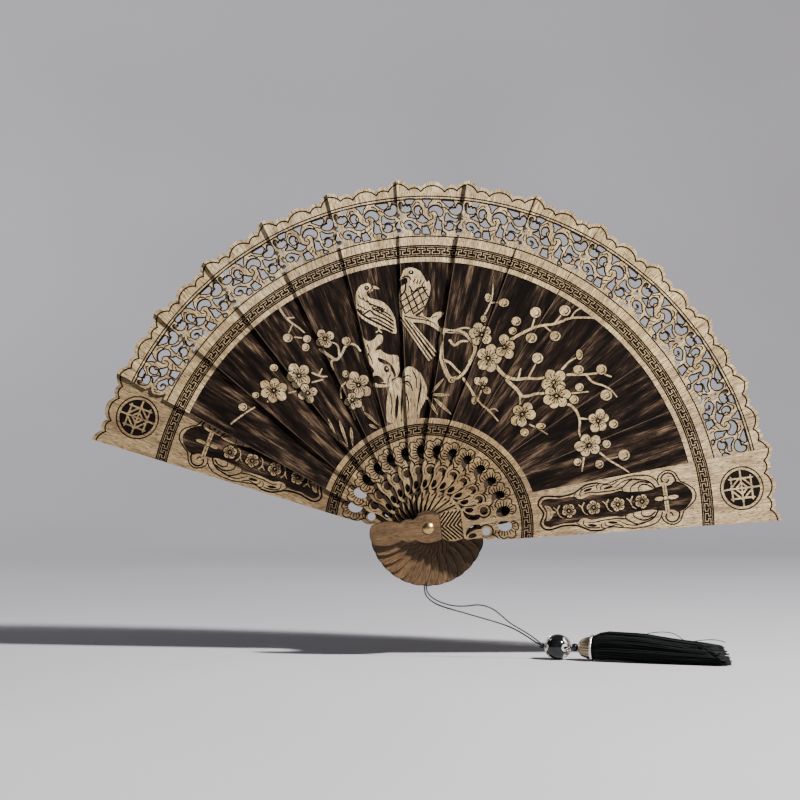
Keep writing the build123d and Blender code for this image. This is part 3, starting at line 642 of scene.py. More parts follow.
def perch():
    """The branch under the right bird, with its curled tip."""
    shapes = [(blob(
        (-15.2, 121), (-10, 121.2), (-5.6, 120.4), (-3.4, 122.2), (-2, 120), (1.2, 119.2), (3, 121.2),
        (6.2, 122.6), (9.2, 121.7), (7.0, 119.4), (5.4, 117.4), (6.4, 114.4), (8.4, 112.6), (6.6, 111.3),
        (3.8, 113.2), (0, 115.4), (-5, 116.5), (-10, 116.9), (-15.2, 120.3)), WOOD)]
    shapes += [
        engraved([(-13.4, 120.2), (-8.4, 118.8), (-2.8, 118.2), (2.6, 116.6), (5.2, 114.2)], 0.45, 0.3),
        engraved([(-6.8, 120.2), (-3.2, 119.6), (0.6, 117.8)], 0.4, 0.3),
        engraved([(2.6, 119.4), (5.2, 120.4)], 0.4, 0.3)]
    return shapes


def trunk():
    """The old tree trunk, left of the middle."""
    shapes = [(blob(
        (-37.5, 109.5), (-36, 107), (-33, 106), (-30.3, 107.5), (-28.5, 109.7), (-25.8, 109),
        (-26, 105.4), (-28.6, 103), (-29.8, 100.8), (-27.0, 101.2), (-25.2, 99.6), (-22, 98.2),
        (-17.2, 97.6), (-16.4, 92.6), (-16.2, 88.6), (-17.8, 85.4), (-20.4, 84.4), (-20.6, 81.6),
        (-23.6, 79.8), (-31.0, 80.2), (-30.8, 84), (-31.4, 88.6), (-33.8, 94), (-35.4, 98),
        (-36.2, 103)), WOOD)]
    hollows = [
        [(-28.6, 96.6), (-25.0, 95.4), (-22.0, 93.6), (-19.4, 90.6), (-18.2, 86.8), (-18.8, 85.6),
         (-20.2, 88.0), (-22.4, 91.4), (-25.4, 93.2), (-27.6, 94.2)],
        [(-31.0, 85.8), (-28.4, 86.4), (-26.2, 84.6), (-25.4, 82.8), (-27.6, 82.2), (-30.8, 82.4)],
        [(-36.0, 95.0), (-34.0, 93.0), (-31.6, 91.0), (-30.6, 89.0), (-31.6, 87.6), (-34.0, 90.6)]]
    shapes += [(blob(*points), FIELD) for points in hollows]
    shapes += [
        (ellipse(-23.6, 89.8, 2.5, 3.1, 15), WOOD), (ellipse(-23.6, 90.0, 1.4, 1.9, 15), LINE),
        (ellipse(-23.4, 90.4, 0.5, 0.7, 15), WOOD),
        engraved([(-34.6, 104.0), (-33.4, 100.4), (-34.4, 97.8)], 0.5, 0.3),
        engraved([(-33.8, 98.6), (-32.0, 95.4), (-31.6, 92.8)], 0.5, 0.3),
        engraved([(-21.4, 86.8), (-22.6, 84.0), (-21.8, 82.0)], 0.45, 0.3),
        engraved([(-28.8, 82.0), (-24.0, 81.6)], 0.5)]
    return shapes


def rocks():
    """Three smooth stones at the bottom of the picture, dark between them."""
    stones = [
        [(-22.9, 60), (-23.6, 66), (-23.4, 72), (-22.4, 77.6), (-20.8, 82.2), (-18.4, 84.6), (-15.2, 84.8),
         (-15.0, 78), (-15.6, 70), (-15.8, 60)],
        [(-14.6, 60), (-14.2, 72), (-14.6, 82), (-14.2, 88.8), (-12.0, 91.0), (-9.6, 91.4), (-6.6, 89.8),
         (-4.6, 86.4), (-4.6, 80), (-5.8, 73), (-6.4, 66), (-6.8, 60)],
        [(-4.8, 88.4), (-3.2, 85.6), (-1.2, 81.2), (-0.4, 76.6), (-1.8, 71.8), (-4.4, 66.4), (-5.4, 60),
         (-6.0, 66), (-4.8, 73), (-3.6, 79.6), (-4.0, 84.8)]]
    shapes = [(blob(*points), WOOD) for points in stones]
    shapes += [
        (blob((-17.4, 75.6), (-16.6, 72), (-17.0, 66), (-18.2, 61), (-18.8, 66), (-18.4, 72)), LINE),
        engraved([(-13.8, 85.4), (-11.6, 86.4), (-9.6, 85.6)], 0.45, 0.3),
        engraved([(-13.6, 82.6), (-11.4, 82.8), (-9.6, 80.6), (-8.8, 77.6)], 0.65, 0.4),
        engraved([(-12.6, 81.8), (-10.8, 80.4)], 0.45, 0.3),
        engraved([(-12.4, 76.0), (-11.0, 70.4), (-11.4, 64.8)], 0.5, 0.3),
        engraved([(-21.4, 76.0), (-20.4, 70.0), (-21.0, 64.0)], 0.45, 0.3),
        engraved([(-8.2, 88.2), (-6.6, 84.4), (-6.6, 79.4)], 0.45, 0.3)]
    return shapes


def knotted_ring():
    """A gnarled branch bent into a ring, right of the middle."""
    shapes = branch([(8.6, 112.6), (7.4, 105), (7.6, 97), (9.4, 90.4), (11.4, 86), (13.4, 83.6)], 2.4, 2.6)
    shapes += branch([(13.4, 84), (17.4, 85.6), (20.6, 88.6), (23.8, 94), (26.4, 99), (26.4, 103.6),
                      (23.2, 108)], 2.2, 1.9)
    shapes += branch([(8.2, 112.2), (12.4, 111.4), (17.6, 111.2), (21.4, 109.6), (23.4, 107.4)], 2.3, 1.8)
    shapes += branch([(9.0, 95), (12.6, 93.4), (15.6, 90.2), (18.6, 87.4)], 1.5, 1.1)
    shapes += branch([(12.4, 106.2), (15.0, 103.4), (18.6, 105.6), (22.4, 105.8)], 1.5, 1.1)
    shapes += [
        (ellipse(13.3, 83.8, 1.9, 1.7), WOOD), (ellipse(13.5, 83.7, 1.15, 1.0), LINE),
        (ellipse(13.7, 83.7, 0.6, 0.5), WOOD),
        engraved([(8.4, 109.6), (7.9, 103), (8.2, 96.6), (10.0, 90.4)], 0.4, 0.25),
        engraved([(16.2, 85.6), (19.8, 88.8), (22.8, 93.8)], 0.4, 0.25),
        engraved([(11.2, 111.3), (16, 111.0), (20.4, 109.6)], 0.4, 0.25)]
    return shapes


def bamboo_leaf(base, tip, width):
    (x0, z0), (x1, z1) = base, tip
    dx, dz = x1 - x0, z1 - z0
    length = math.hypot(dx, dz)
    nx, nz = -dz / length * width, dx / length * width
    leaf = [(x0, z0), (x0 + 0.3 * dx + nx, z0 + 0.3 * dz + nz),
            (x0 + 0.65 * dx + 0.8 * nx, z0 + 0.65 * dz + 0.8 * nz), (x1, z1),
            (x0 + 0.65 * dx - 0.8 * nx, z0 + 0.65 * dz - 0.8 * nz),
            (x0 + 0.3 * dx - nx, z0 + 0.3 * dz - nz)]
    return [(smooth(leaf, closed=True, steps=3), WOOD),
            (stroke([(x0 + 0.1 * dx, z0 + 0.1 * dz), (x0 + 0.85 * dx, z0 + 0.85 * dz)], 0.3,
                    curved=False), LINE)]


BAMBOO = [
    ((2.0, 76.6), (9.0, 84.6), 0.75), ((2.4, 75.4), (12.4, 75.2), 0.85),
    ((3.4, 73.4), (13.4, 64.0), 0.95), ((0.2, 72.4), (5.6, 63.8), 0.8),
    ((-36.5, 65.8), (-28.0, 58.0), 0.75), ((-33.6, 58.6), (-29.0, 56.2), 0.8),
    ((-50.6, 61.0), (-45.6, 46.4), 0.75), ((-44.0, 57.0), (-42.8, 46.0), 0.8),
    ((-51.0, 49.6), (-45.4, 45.6), 0.7), ((-57.0, 62.0), (-51.4, 49.0), 0.7),
    ((-1.6, 74.4), (1.4, 72.0), 0.7),
]
BLOSSOMS = [  # centre, petal centres, petal radius
    ((34, 96), [(30.5, 98.8), (36, 101.6), (39.2, 96), (35.6, 90.6), (30.8, 92)], 2.6),
    ((43.2, 102.4), [(43, 107.4), (46.8, 103.2), (46, 98), (41, 99.6)], 2.4),
    ((30.5, 109.4), [(28.2, 114), (33, 111.8), (33.4, 106.6), (27.2, 106), (25.4, 110.4)], 2.4),
    ((71, 82.2), [(69, 87), (75, 86.3), (66.6, 81), (75.2, 79.6)], 2.6),
    ((72.5, 74.6), [(68.4, 76.8), (75.2, 78.4), (78.4, 75.6), (76, 70.8), (70.8, 69.8),
                    (67.4, 72.2)], 2.4),
    ((53.2, 64.2), [(50.4, 66.8), (56.6, 68.6), (58.6, 64), (49.0, 60.2), (52.8, 59.4)], 2.4),
    ((31, 79.6), [(27.8, 83.6), (31.8, 83.8), (33.8, 77.4)], 1.8),
    ((95.9, 60.4), [(92.6, 62), (99.8, 62.4), (97.2, 65.2), (98.2, 57), (93.8, 56.2)], 2.2),
    ((90.8, 46.6), [(88.6, 50.6), (94.8, 50), (94.2, 44.4), (88.2, 42.8), (84.6, 46)], 2.4),
    ((-39.5, 81), [(-42.4, 86.4), (-36.4, 84.2), (-44.2, 81.4), (-34.8, 77.0), (-39.4, 76)], 2.5),
    ((-43.0, 72.6), [(-43.4, 74.8), (-43.2, 68.8), (-39.4, 70), (-45.8, 71.4)], 1.9),
    ((-73.5, 86.4), [(-77, 91), (-70.4, 90), (-69.6, 83.6), (-75, 81.6), (-78.2, 86)], 2.5),
    ((-68.6, 76.6), [(-65, 77.4), (-67.2, 72.6), (-72.2, 75), (-70.4, 79.8)], 2.0),
    ((-88, 78), [(-93.6, 81.6), (-93.2, 76.4), (-87.4, 82.8), (-82.6, 79.8), (-88.5, 73.2),
                 (-83, 74.4)], 2.3),
    ((-58.6, 107.4), [(-61, 110.6), (-55.6, 109.4), (-57.2, 104.4), (-61.8, 105.4)], 2.1),
]
BUDS = [  # x, z, half width, half height
    (31.5, 118.5, 1.6, 1.9), (34, 130.5, 1.7, 2.4), (43, 127.5, 2.9, 2.3), (50, 117, 2.7, 2.5),
    (61, 122, 3.1, 3.0), (77.5, 123, 3.2, 3.0), (72, 108.5, 3.0, 2.8), (58.5, 107.5, 3.1, 2.9),
    (48, 111.5, 2.2, 2.1), (62, 96, 3.1, 3.0), (85.5, 79.5, 2.4, 2.2), (82.5, 72.5, 2.6, 2.4),
    (100.5, 75, 3.3, 3.0), (85, 89.5, 2.9, 2.4), (98, 89.5, 2.9, 2.8), (85.5, 98, 1.8, 2.9),
    (110.3, 41.2, 3.2, 3.1), (100.5, 47.4, 2.3, 2.2), (84.1, 37.2, 2.2, 2.1), (96.4, 36, 2.4, 2.3),
    (104.6, 58.7, 2.6, 2.4), (54.4, 54, 2.4, 2.2), (63.6, 57.6, 2.8, 1.7), (26, 72, 1.4, 2.2),
    (-47, 87.4, 1.9, 2.0), (-80, 108, 2.8, 2.4), (-69, 107.5, 2.2, 2.0), (-69.8, 102.6, 2.1, 2.2),
    (-88, 91, 2.3, 2.0), (-105.8, 68.6, 2.5, 2.2), (-46.5, 106.2, 2.5, 2.3), (-98.4, 75.4, 2.0, 1.7),
]
TWIGS = [  # points and width at the start
    ([(31.5, 119.6), (34.6, 125.6), (36.4, 131), (37, 138)], 1.0), ([(35.6, 127.6), (40.6, 127.8)], 0.9),
    ([(46, 106), (54, 110.6), (62, 114), (72, 115.5), (80, 118.5), (88, 119), (96, 118.5),
       (99, 116)], 1.6), ([(58.5, 112.2), (60.5, 119)], 1.1), ([(72, 116), (75.4, 120.4)], 1.1),
    ([(66, 114.2), (70, 110.6)], 1.0), ([(80.6, 118.4), (83.6, 122.6), (87.4, 124.6)], 0.9),
    ([(37.6, 92.6), (43.6, 86), (50, 84), (56, 84.6), (62, 84.3), (67.6, 85.5)], 2.0),
    ([(51, 84.4), (52.5, 90)], 1.2), ([(57, 85.4), (61, 93.2)], 1.2),
    ([(44.6, 83.4), (50.4, 78), (53, 74.6), (57, 74.6), (61, 75.8), (67, 76)], 2.0),
    ([(52.4, 76), (51.8, 68.6)], 1.3), ([(75.6, 89.4), (80, 94), (84.4, 96.6)], 1.2),
    ([(78.6, 86.6), (86, 86.6), (92, 87), (97.5, 87.4), (103.5, 85.4)], 1.4),
    ([(89.4, 86.4), (93, 82.4), (99, 80.4), (103, 78), (106.5, 74)], 1.2),
    ([(79.6, 75.8), (84.6, 76.4), (90.5, 77)], 1.1),
    ([(77.6, 70.4), (81.4, 68.6), (84.2, 64.8), (85.6, 59.7), (85.1, 54.5), (86.2, 50.6)], 1.6),
    ([(85.6, 61.8), (91.4, 61.4)], 1.1),
    ([(96.6, 42.6), (101.5, 38.6), (105.8, 36), (110.8, 33), (113, 31.4)], 1.1),
    ([(101.2, 38.8), (108, 40.4)], 0.9), ([(87.8, 40.6), (86.6, 32)], 1.1),
    ([(57.4, 58.4), (62.6, 55.8), (67.2, 52.9)], 0.9), ([(53.6, 58), (54.2, 55)], 0.9),
    ([(20, 84.6), (24, 78.6), (28, 72.4), (32, 68)], 1.4), ([(24.6, 77.2), (25.8, 73.6)], 0.8),
    ([(30.2, 77.6), (28.4, 72.8)], 0.8), ([(31.8, 68.6), (36, 64.6), (39.6, 60.4)], 1.2),
    ([(34.2, 66.4), (37.4, 67.4), (39.4, 66)], 0.8), ([(26.2, 98.4), (29.4, 96.6)], 1.3),
    ([(26.6, 103.6), (27.8, 104.6)], 1.0), ([(14.6, 111.6), (20.6, 113.4), (25.4, 112.4)], 1.2),
    ([(-86, 127), (-83, 122), (-79, 117.5), (-74, 114), (-70.5, 111)], 1.3),
    ([(-81, 119.4), (-76.4, 119.6)], 0.8), ([(-79.4, 111), (-77.4, 115.4)], 0.8),
    ([(-76, 108.4), (-72, 108)], 0.8),
    ([(-61.6, 101.4), (-55.4, 97.2), (-52, 95.5), (-49, 99), (-47, 103), (-44, 104.5), (-41, 103.5),
       (-38.5, 100.6)], 1.7), ([(-52.4, 95.8), (-55, 94.4), (-54, 89.6)], 1.5),
    ([(-50.4, 97.4), (-51.4, 103.4), (-54.4, 105.4)], 1.1), ([(-66, 88), (-61, 86), (-57.5, 86)], 1.1),
    ([(-66, 82.6), (-60, 84.2)], 1.0), ([(-62.4, 86.4), (-60.4, 90.4)], 0.9),
    ([(-112.5, 59), (-108, 62.5), (-103, 66), (-99, 68.4)], 1.1),
    ([(-46.4, 82.8), (-49.6, 79.4), (-49.4, 73.6)], 1.0), ([(-79.4, 76.6), (-75.4, 77.6)], 0.9),
    ([(-91.6, 71.4), (-89.4, 75)], 0.9), ([(-43.6, 66.6), (-41.6, 61.4)], 0.9),
    ([(-38.4, 72.4), (-36.6, 66.4)], 1.2),
]


def picture():
    shapes = trunk() + rocks() + knotted_ring()
    for points, width in TWIGS:
        shapes += branch(points, width, max(0.7, width * 0.6))
    for base, tip, width in BAMBOO:
        shapes += bamboo_leaf(base, tip, width)
    shapes += left_bird() + right_bird() + perch()
    for x, z, rx, rz in BUDS:
        shapes += bud(x, z, rx, rz)
    for centre, petals, radius in BLOSSOMS:
        shapes += blossom(centre, petals, radius, relative=False)
    return [(np.asarray(polygon, float), kind) for polygon, kind in shapes]


# ---- the leaves ---------------------------------------------------------------------------------
FIELD_LOW, FIELD_HIGH = 62.2, 151.2
MARGIN_WIDTH = 0.45


def burnt_field():
    """The dark ground of the picture, inside a light strip along each edge of the leaf."""
    steps = 14
    edge = [FIELD_LOW + (FIELD_HIGH - FIELD_LOW) * k / steps for k in range(steps + 1)]

    def side(x_sign, r):
        x = x_sign * (half_width(r) - MARGIN_WIDTH)
        return x, math.sqrt(r * r - x * x)

    right = [side(1, r) for r in edge]
    left = [side(-1, r) for r in edge]
    high_reach = half_width(FIELD_HIGH) - 1.2
    low_reach = half_width(FIELD_LOW) - 1.2
    top = [polar(s, FIELD_HIGH) for s in np.linspace(high_reach, -high_reach, 14)]
    bottom = [polar(s, FIELD_LOW) for s in np.linspace(-low_reach, low_reach, 10)]
    return right + top[1:-1] + left[::-1] + bottom[1:-1]


def leaf_shapes(number, outline, piercings, art):
    sine, cosine = stick_turn(number)
    shapes = [(arc_band(FIELD_LOW, FIELD_HIGH), MARGIN), (burnt_field(), FIELD)]
    reach = half_width(FIELD_HIGH) + 1
    for polygon, kind in art:
        x = polygon[:, 0] * sine - polygon[:, 1] * cosine
        r = polygon[:, 0] * cosine + polygon[:, 1] * sine
        if x.max() < -reach or x.min() > reach or r.max() < FIELD_LOW - 4 or r.min() > FIELD_HIGH:
            continue
        shapes.append((np.stack((x, r), 1), kind))
    return shapes + common_bands(0.25 * (number % 3), outline, leaf_grooves()) + scroll_band(piercings)


# ---- cutting a stick as a relief ------------------------------------------------------------------
def cad_loops(node, number):
    """Outline and piercings of a stick, in its own plane, and the depths of its front and back."""
    mesh = node.data
    points = np.array([v.co for v in mesh.vertices], float) / MM
    back = points[:, 1].max()
    front = points[:, 1].min() + HEAD_PROUD
    sine, cosine = stick_turn(number)
    keys, place = {}, []
    for p in points:
        x, r = p[0] * sine - p[2] * cosine, p[0] * cosine + p[2] * sine
        place.append(keys.setdefault((round(x, 3), round(r, 3)), len(keys)))
    spots = [None] * len(keys)
    for key, index in keys.items():
        spots[index] = key
    edges = set()
    for polygon in mesh.polygons:
        corners = list(polygon.vertices)
        if all(abs(points[c, 1] - back) < 1e-3 for c in corners):
            for a, b in zip(corners, corners[1:] + corners[:1]):
                a, b = place[a], place[b]
                if (b, a) in edges:
                    edges.remove((b, a))
                else:
                    edges.add((a, b))
    following = {}
    for a, b in edges:
        following.setdefault(a, []).append(b)
    loops = []
    while following:
        start = next(iter(following))
        loop, here = [], start
        while here in following:
            loop.append(spots[here])
            nexts = following[here]
            here_next = nexts.pop()
            if not nexts:
                del following[here]
            here = here_next
            if here == start:
                break
        loops.append(loop)
    loops = [loop if area(loop) > 0 else loop[::-1] for loop in loops if abs(area(loop)) > 0.02]
    loops.sort(key=area, reverse=True)
    return loops[0], loops[1:], front, back


def cut_relief(name, layers, place):
    """One closed mesh from layered polygons, the first being the outline: relief, walls and flat back.

    place(x, r, depth) gives a point of the mesh, and depth None is the back.
    """
    flat, faces, kinds = [], [], []
    for polygon, kind in layers:
        polygon = [(float(p[0]), float(p[1])) for p in polygon]
        # a repeated point would turn the polygon inside out
        polygon = [p for p, q in zip(polygon, polygon[-1:] + polygon[:-1]) if math.dist(p, q) > 2e-3]
        if len(polygon) < 3 or abs(area(polygon)) < 1e-4:
            continue
        if area(polygon) < 0:
            polygon = polygon[::-1]
        faces.append(list(range(len(flat), len(flat) + len(polygon))))
        flat += [Vector(p) for p in polygon]
        kinds.append(kind)
    spots, _, triangles, _, _, owners = delaunay_2d_cdt(flat, [], faces, 1, 1e-4, True)
    vertices, grain, index_of = [], [], {}

    def vertex(spot, depth):
        key = (spot, depth)
        if key not in index_of:
            index_of[key] = len(vertices)
            x, r = spots[spot]
            vertices.append([c * MM for c in place(x, r, depth)])
            grain.append((x / 100, r / 100))
        return index_of[key]

    mesh_faces, surfaces, depth_beside = [], [], {}
    for triangle, owner in zip(triangles, owners):
        if not owner or min(owner) != 0 or kinds[max(owner)] == OPEN:
            continue
        kind = kinds[max(owner)]
        mesh_faces.append([vertex(spot, DEPTH[kind]) for spot in triangle])
        surfaces.append(SURFACE[kind])
        mesh_faces.append([vertex(spot, None) for spot in reversed(triangle)])
        surfaces.append(BACK_SURFACE)
        for a, b in zip(triangle, triangle[1:] + triangle[:1]):
            depth_beside[(a, b)] = DEPTH[kind]
    for (a, b), depth in depth_beside.items():
        other = depth_beside.get((b, a))
        if other is None:
            mesh_faces.append([vertex(b, depth), vertex(a, depth), vertex(a, None), vertex(b, None)])
            surfaces.append(SIDE_SURFACE)
        elif depth < other:
            mesh_faces.append([vertex(b, depth), vertex(a, depth), vertex(a, other), vertex(b, other)])
            surfaces.append(SURFACE[LINE])
    mesh = bpy.data.meshes.new(name)
    mesh.from_pydata(vertices, [], mesh_faces)
    mesh.polygons.foreach_set("material_index", surfaces)
    along = mesh.uv_layers.new(name="grain")
    for loop in mesh.loops:
        along.data[loop.index].uv = grain[loop.vertex_index]
    return mesh


# ---- materials ------------------------------------------------------------------------------------
def colour(red, green, blue):
    """A colour stated as it looks on a screen, as linear values."""
    linear = [((c / 255 + 0.055) / 1.055) ** 2.4 if c > 10 else c / 255 / 12.92
              for c in (red, green, blue)]
    return (*linear, 1.0)


class Surface:
    """A material under construction: a Principled shader and helpers that feed it."""

    def __init__(self, name, roughness, metallic=0.0):
        self.material = bpy.data.materials.new(name)
        self.material.use_nodes = True
        self.tree = self.material.node_tree
        self.shader = next(n for n in self.tree.nodes if n.type == "BSDF_PRINCIPLED")
        self.shader.inputs["Roughness"].default_value = roughness
        self.shader.inputs["Metallic"].default_value = metallic

    def node(self, kind, **settings):
        node = self.tree.nodes.new(kind)
        for name, value in settings.items():
            setattr(node, name, value)
        return node

    def link(self, source, target):
        self.tree.links.new(source, target)

    def noise(self, stretch, detail, uv=True, roughness=0.55):
        """Noise stretched by that much in each direction, of the stick's own plane or of the object."""
        if uv:
            where = self.node("ShaderNodeUVMap", uv_map="grain").outputs["UV"]
        else:
            where = self.node("ShaderNodeTexCoord").outputs["Object"]
        mapping = self.node("ShaderNodeMapping")
        mapping.inputs["Scale"].default_value = stretch
        noise = self.node("ShaderNodeTexNoise")
        noise.inputs["Scale"].default_value = 1.0
        noise.inputs["Detail"].default_value = detail
        noise.inputs["Roughness"].default_value = roughness
        self.link(where, mapping.inputs["Vector"])
        if uv:
            offset = self.node("ShaderNodeAttribute", attribute_name="shift")
            add = self.node("ShaderNodeVectorMath", operation="ADD")
            self.link(mapping.outputs["Vector"], add.inputs[0])
            self.link(offset.outputs["Vector"], add.inputs[1])
            self.link(add.outputs["Vector"], noise.inputs["Vector"])
        else:
            self.link(mapping.outputs["Vector"], noise.inputs["Vector"])
        return noise.outputs["Fac"]

    def distance_out(self):
        """How far from the rivet a point of a stick lies, in tenths of a metre."""
        parts = self.node("ShaderNodeSeparateXYZ")
        self.link(self.node("ShaderNodeUVMap", uv_map="grain").outputs["UV"], parts.inputs["Vector"])
        return parts.outputs["Y"]

    def ramp(self, value, *stops):
        ramp = self.node("ShaderNodeValToRGB")
        elements = ramp.color_ramp.elements
        while len(elements) < len(stops):
            elements.new(0.5)
        for element, (position, rgba) in zip(elements, stops):
            element.position = position
            element.color = rgba
        self.link(value, ramp.inputs["Fac"])
        return ramp.outputs["Color"]

    def multiplied(self, first, second):
        mix = self.node("ShaderNodeMix", data_type="RGBA", blend_type="MULTIPLY")
        mix.inputs["Factor"].default_value = 1.0
        self.link(first, mix.inputs["A"])
        self.link(second, mix.inputs["B"])
        return mix.outputs["Result"]

    def paint(self, socket):
        self.link(socket, self.shader.inputs["Base Color"])

    def bump(self, value, distance):
        bump = self.node("ShaderNodeBump")
        bump.inputs["Strength"].default_value = 0.6
        bump.inputs["Distance"].default_value = distance * MM
        self.link(value, bump.inputs["Height"])
        self.link(bump.outputs["Normal"], self.shader.inputs["Normal"])


def wooden(name, dark, light, pore, roughness, gloss=0.35):
    """Wood with its grain along the stick, in the stick's own tone, and with painted shade that darkens it
    towards the rivet.
    """
    surface = Surface(name, roughness)
    surface.shader.inputs["Specular IOR Level"].default_value = gloss
    grain = surface.noise((135, 7.0, 1), 5.0, roughness=0.68)
    bands = surface.ramp(grain, (0.30, dark), (0.70, light))
    clouds = surface.ramp(surface.noise((17, 4.5, 1), 2.0), (0.3, SHADE), (0.62, WHITE))
    pores = surface.ramp(surface.noise((520, 30, 1), 2.0), (0.38, pore), (0.52, WHITE))
    tone = surface.node("ShaderNodeAttribute", attribute_name="tone").outputs["Color"]
    # painted shade: the colour darkens towards the rivet, standing in for the light falling off there
    rivet_shade = surface.ramp(surface.distance_out(), (0.55, RIVET_SHADE), (1.0, WHITE))
    paint = bands
    for layer in (clouds, pores, tone, rivet_shade):
        paint = surface.multiplied(paint, layer)
    surface.paint(paint)
    surface.bump(surface.noise((380, 14, 1), 2.0), 0.05)
    return surface.material


def scorched(name, dark, middle, light):
    """Burnt ground of fine fibres, paler in patches."""
    surface = Surface(name, 0.8)
    surface.shader.inputs["Specular IOR Level"].default_value = 0.05
    fibres = surface.noise((230, 8.0, 1), 6.0, roughness=0.8)
    patches = surface.noise((26, 4.0, 1), 3.0)
    blend = surface.node("ShaderNodeMath", operation="MULTIPLY")
    surface.link(fibres, blend.inputs[0])
    surface.link(patches, blend.inputs[1])
    surface.paint(surface.ramp(blend.outputs["Value"], (0.20, dark), (0.29, middle), (0.44, light)))
    surface.bump(fibres, 0.12)
    return surface.material


WHITE = (1, 1, 1, 1)
SHADE = colour(206, 198, 190)
RIVET_SHADE = colour(200, 190, 178)    # painted shade: how much darker the wood is painted near the rivet, where the light falls off
wood = wooden("sandalwood", colour(112, 90, 58), colour(218, 200, 160), colour(112, 94, 76), 0.6)
# burnt lines and walls; the same surface also fills the right-hand slits and the top of each leaf's pocket
# as painted shade
burnt_line_and_shade = wooden("burnt line and painted shade", colour(9, 5, 3), colour(24, 15, 10), colour(200, 190, 180), 0.85,
                    gloss=0.08)
burnt_ground = scorched("burnt ground", colour(8, 5, 4), colour(31, 22, 17), colour(112, 92, 72))
# the pale strip along each leaf's edges round the picture field; it also paints the lower part of each
# leaf's painted-shade pocket
pale_edge_and_shade = wooden("pale edge and painted shade", colour(46, 34, 25), colour(92, 74, 54), colour(150, 135, 120), 0.7)
# also colours the painted-shade rim round each pivot head
cut_side = wooden("cut side", colour(44, 30, 19), colour(82, 60, 40), colour(200, 190, 180), 0.8)
back_wood = wooden("sandalwood back", colour(140, 114, 76), colour(206, 182, 138), colour(170, 150, 128),
                   0.6)
# the proud pivot heads are coloured darker than the blades
head_wood = wooden("darker head wood", colour(78, 60, 37), colour(152, 126, 88), colour(136, 118, 96), 0.55)
STICK_MATERIALS = [wood, burnt_line_and_shade, burnt_ground, pale_edge_and_shade, cut_side, back_wood, head_wood]


def plain(name, rgba, roughness, metallic, noise_scale, spread, bump=0.0, gloss=0.5):
    """A material whose colour and relief vary slightly over the object."""
    surface = Surface(name, roughness, metallic)
    surface.shader.inputs["Specular IOR Level"].default_value = gloss
    low = tuple(c * (1 - spread) for c in rgba[:3]) + (1,)
    high = tuple(min(1, c * (1 + spread)) for c in rgba[:3]) + (1,)
    noise = surface.noise((noise_scale,) * 3, 2.0, uv=False)
    surface.paint(surface.ramp(noise, (0.35, low), (0.65, high)))
    if bump:
        surface.bump(noise, bump)
    return surface.material


brass = plain("brass", colour(188, 160, 108), 0.28, 1.0, 500, 0.06)
silver = plain("silver", colour(226, 224, 218), 0.34, 1.0, 700, 0.08)
bell_metal = plain("bell metal", colour(150, 134, 114), 0.34, 1.0, 700, 0.1)
dark_glass = plain("dark bead", colour(14, 15, 16), 0.12, 0.0, 300, 0.2)
thread = plain("cord thread", colour(20, 32, 27), 0.7, 0.0, 2500, 0.35, 0.1)
tassel_thread = plain("tassel thread", colour(3, 8, 7), 0.7, 0.0, 1200, 0.5, gloss=0.2)
ribbon_cloth = plain("ribbon", colour(196, 178, 146), 0.75, 0.0, 1800, 0.12, 0.03)

# ---- the sticks -------------------------------------------------------------------------------------
# how light each stick is, from the front guard round to the rear guard; the rear guard's much darker tone
# is painted shade, for the shadow that the last leaf casts on it
TONES = [(0.90, 0.87, 0.83), (0.94, 0.92, 0.90), (0.96, 0.93, 0.84), (1.04, 1.00, 0.86), (0.95, 0.91, 0.80),
         (1.0, 0.96, 0.86), (0.95, 0.92, 0.87), (1.02, 1.01, 0.99), (1.06, 1.06, 1.05), (0.97, 0.97, 0.97),
         (1.0, 1.0, 0.99), (0.95, 0.91, 0.82), (0.90, 0.86, 0.78), (0.56, 0.50, 0.43)]


def add_object(name, mesh, body, materials, replaced=()):
    piece = placed(name, mesh)
    for material in materials:
        piece.data.materials.append(material)
    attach(piece, body)
    if replaced:
        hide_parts(*replaced)
    return piece


def is_right_slit(hole):
    """The slit right of the middle, filled with the dark line surface as painted shade: no light comes
    through the stack there, and what shows is shade.
    """
    x, r = np.mean(hole, 0)
    return 1 < x < 5 and 20 < r < 30


def add_sticks():
    art = picture()
    for number, stick in enumerate(STICKS):
        outline, piercings, front, back = cad_loops(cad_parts[stick], number)
        sine, cosine = stick_turn(number)

        def place(x, r, depth):
            return x * sine + r * cosine, back if depth is None else front + depth, r * sine - x * cosine

        if stick.endswith("guard"):
            own = guard_shapes(outline)
        else:
            own = leaf_shapes(number, outline, piercings, art)
        layers = [(outline, WOOD)] + own
        # painted shade: on every stick but the front guard the right slit is filled with the dark line
        # surface
        layers += [(hole, LINE if number and is_right_slit(hole) else OPEN) for hole in piercings]
        mesh = cut_relief(stick + " relief", layers, place)
        for attribute, value in (("tone", TONES[number]),
                                 ("shift", (number * 7.3, number * 3.1, number * 1.7))):
            data = mesh.attributes.new(attribute, "FLOAT_VECTOR", "POINT")
            data.data.foreach_set("vector", list(value) * len(mesh.vertices))
        add_object("carved_" + stick, mesh, stick, STICK_MATERIALS, [stick])


add_sticks()

# ---- bead, knot bead, bell cap and skirt, all on the tassel's level axis ---------------------------
SURFACE_Z = -74.2
TASSEL_TURN = math.radians(-20)
BEAD_RADIUS = 7.1
BEAD_CENTRE = (73.2, -3.4, SURFACE_Z + BEAD_RADIUS)
BEAD_CAP_THICKNESS = 0.45
ALONG = np.array((math.cos(TASSEL_TURN), math.sin(TASSEL_TURN), 0.0))
ASIDE = np.array((-math.sin(TASSEL_TURN), math.cos(TASSEL_TURN), 0.0))
UP = np.array((0.0, 0.0, 1.0))


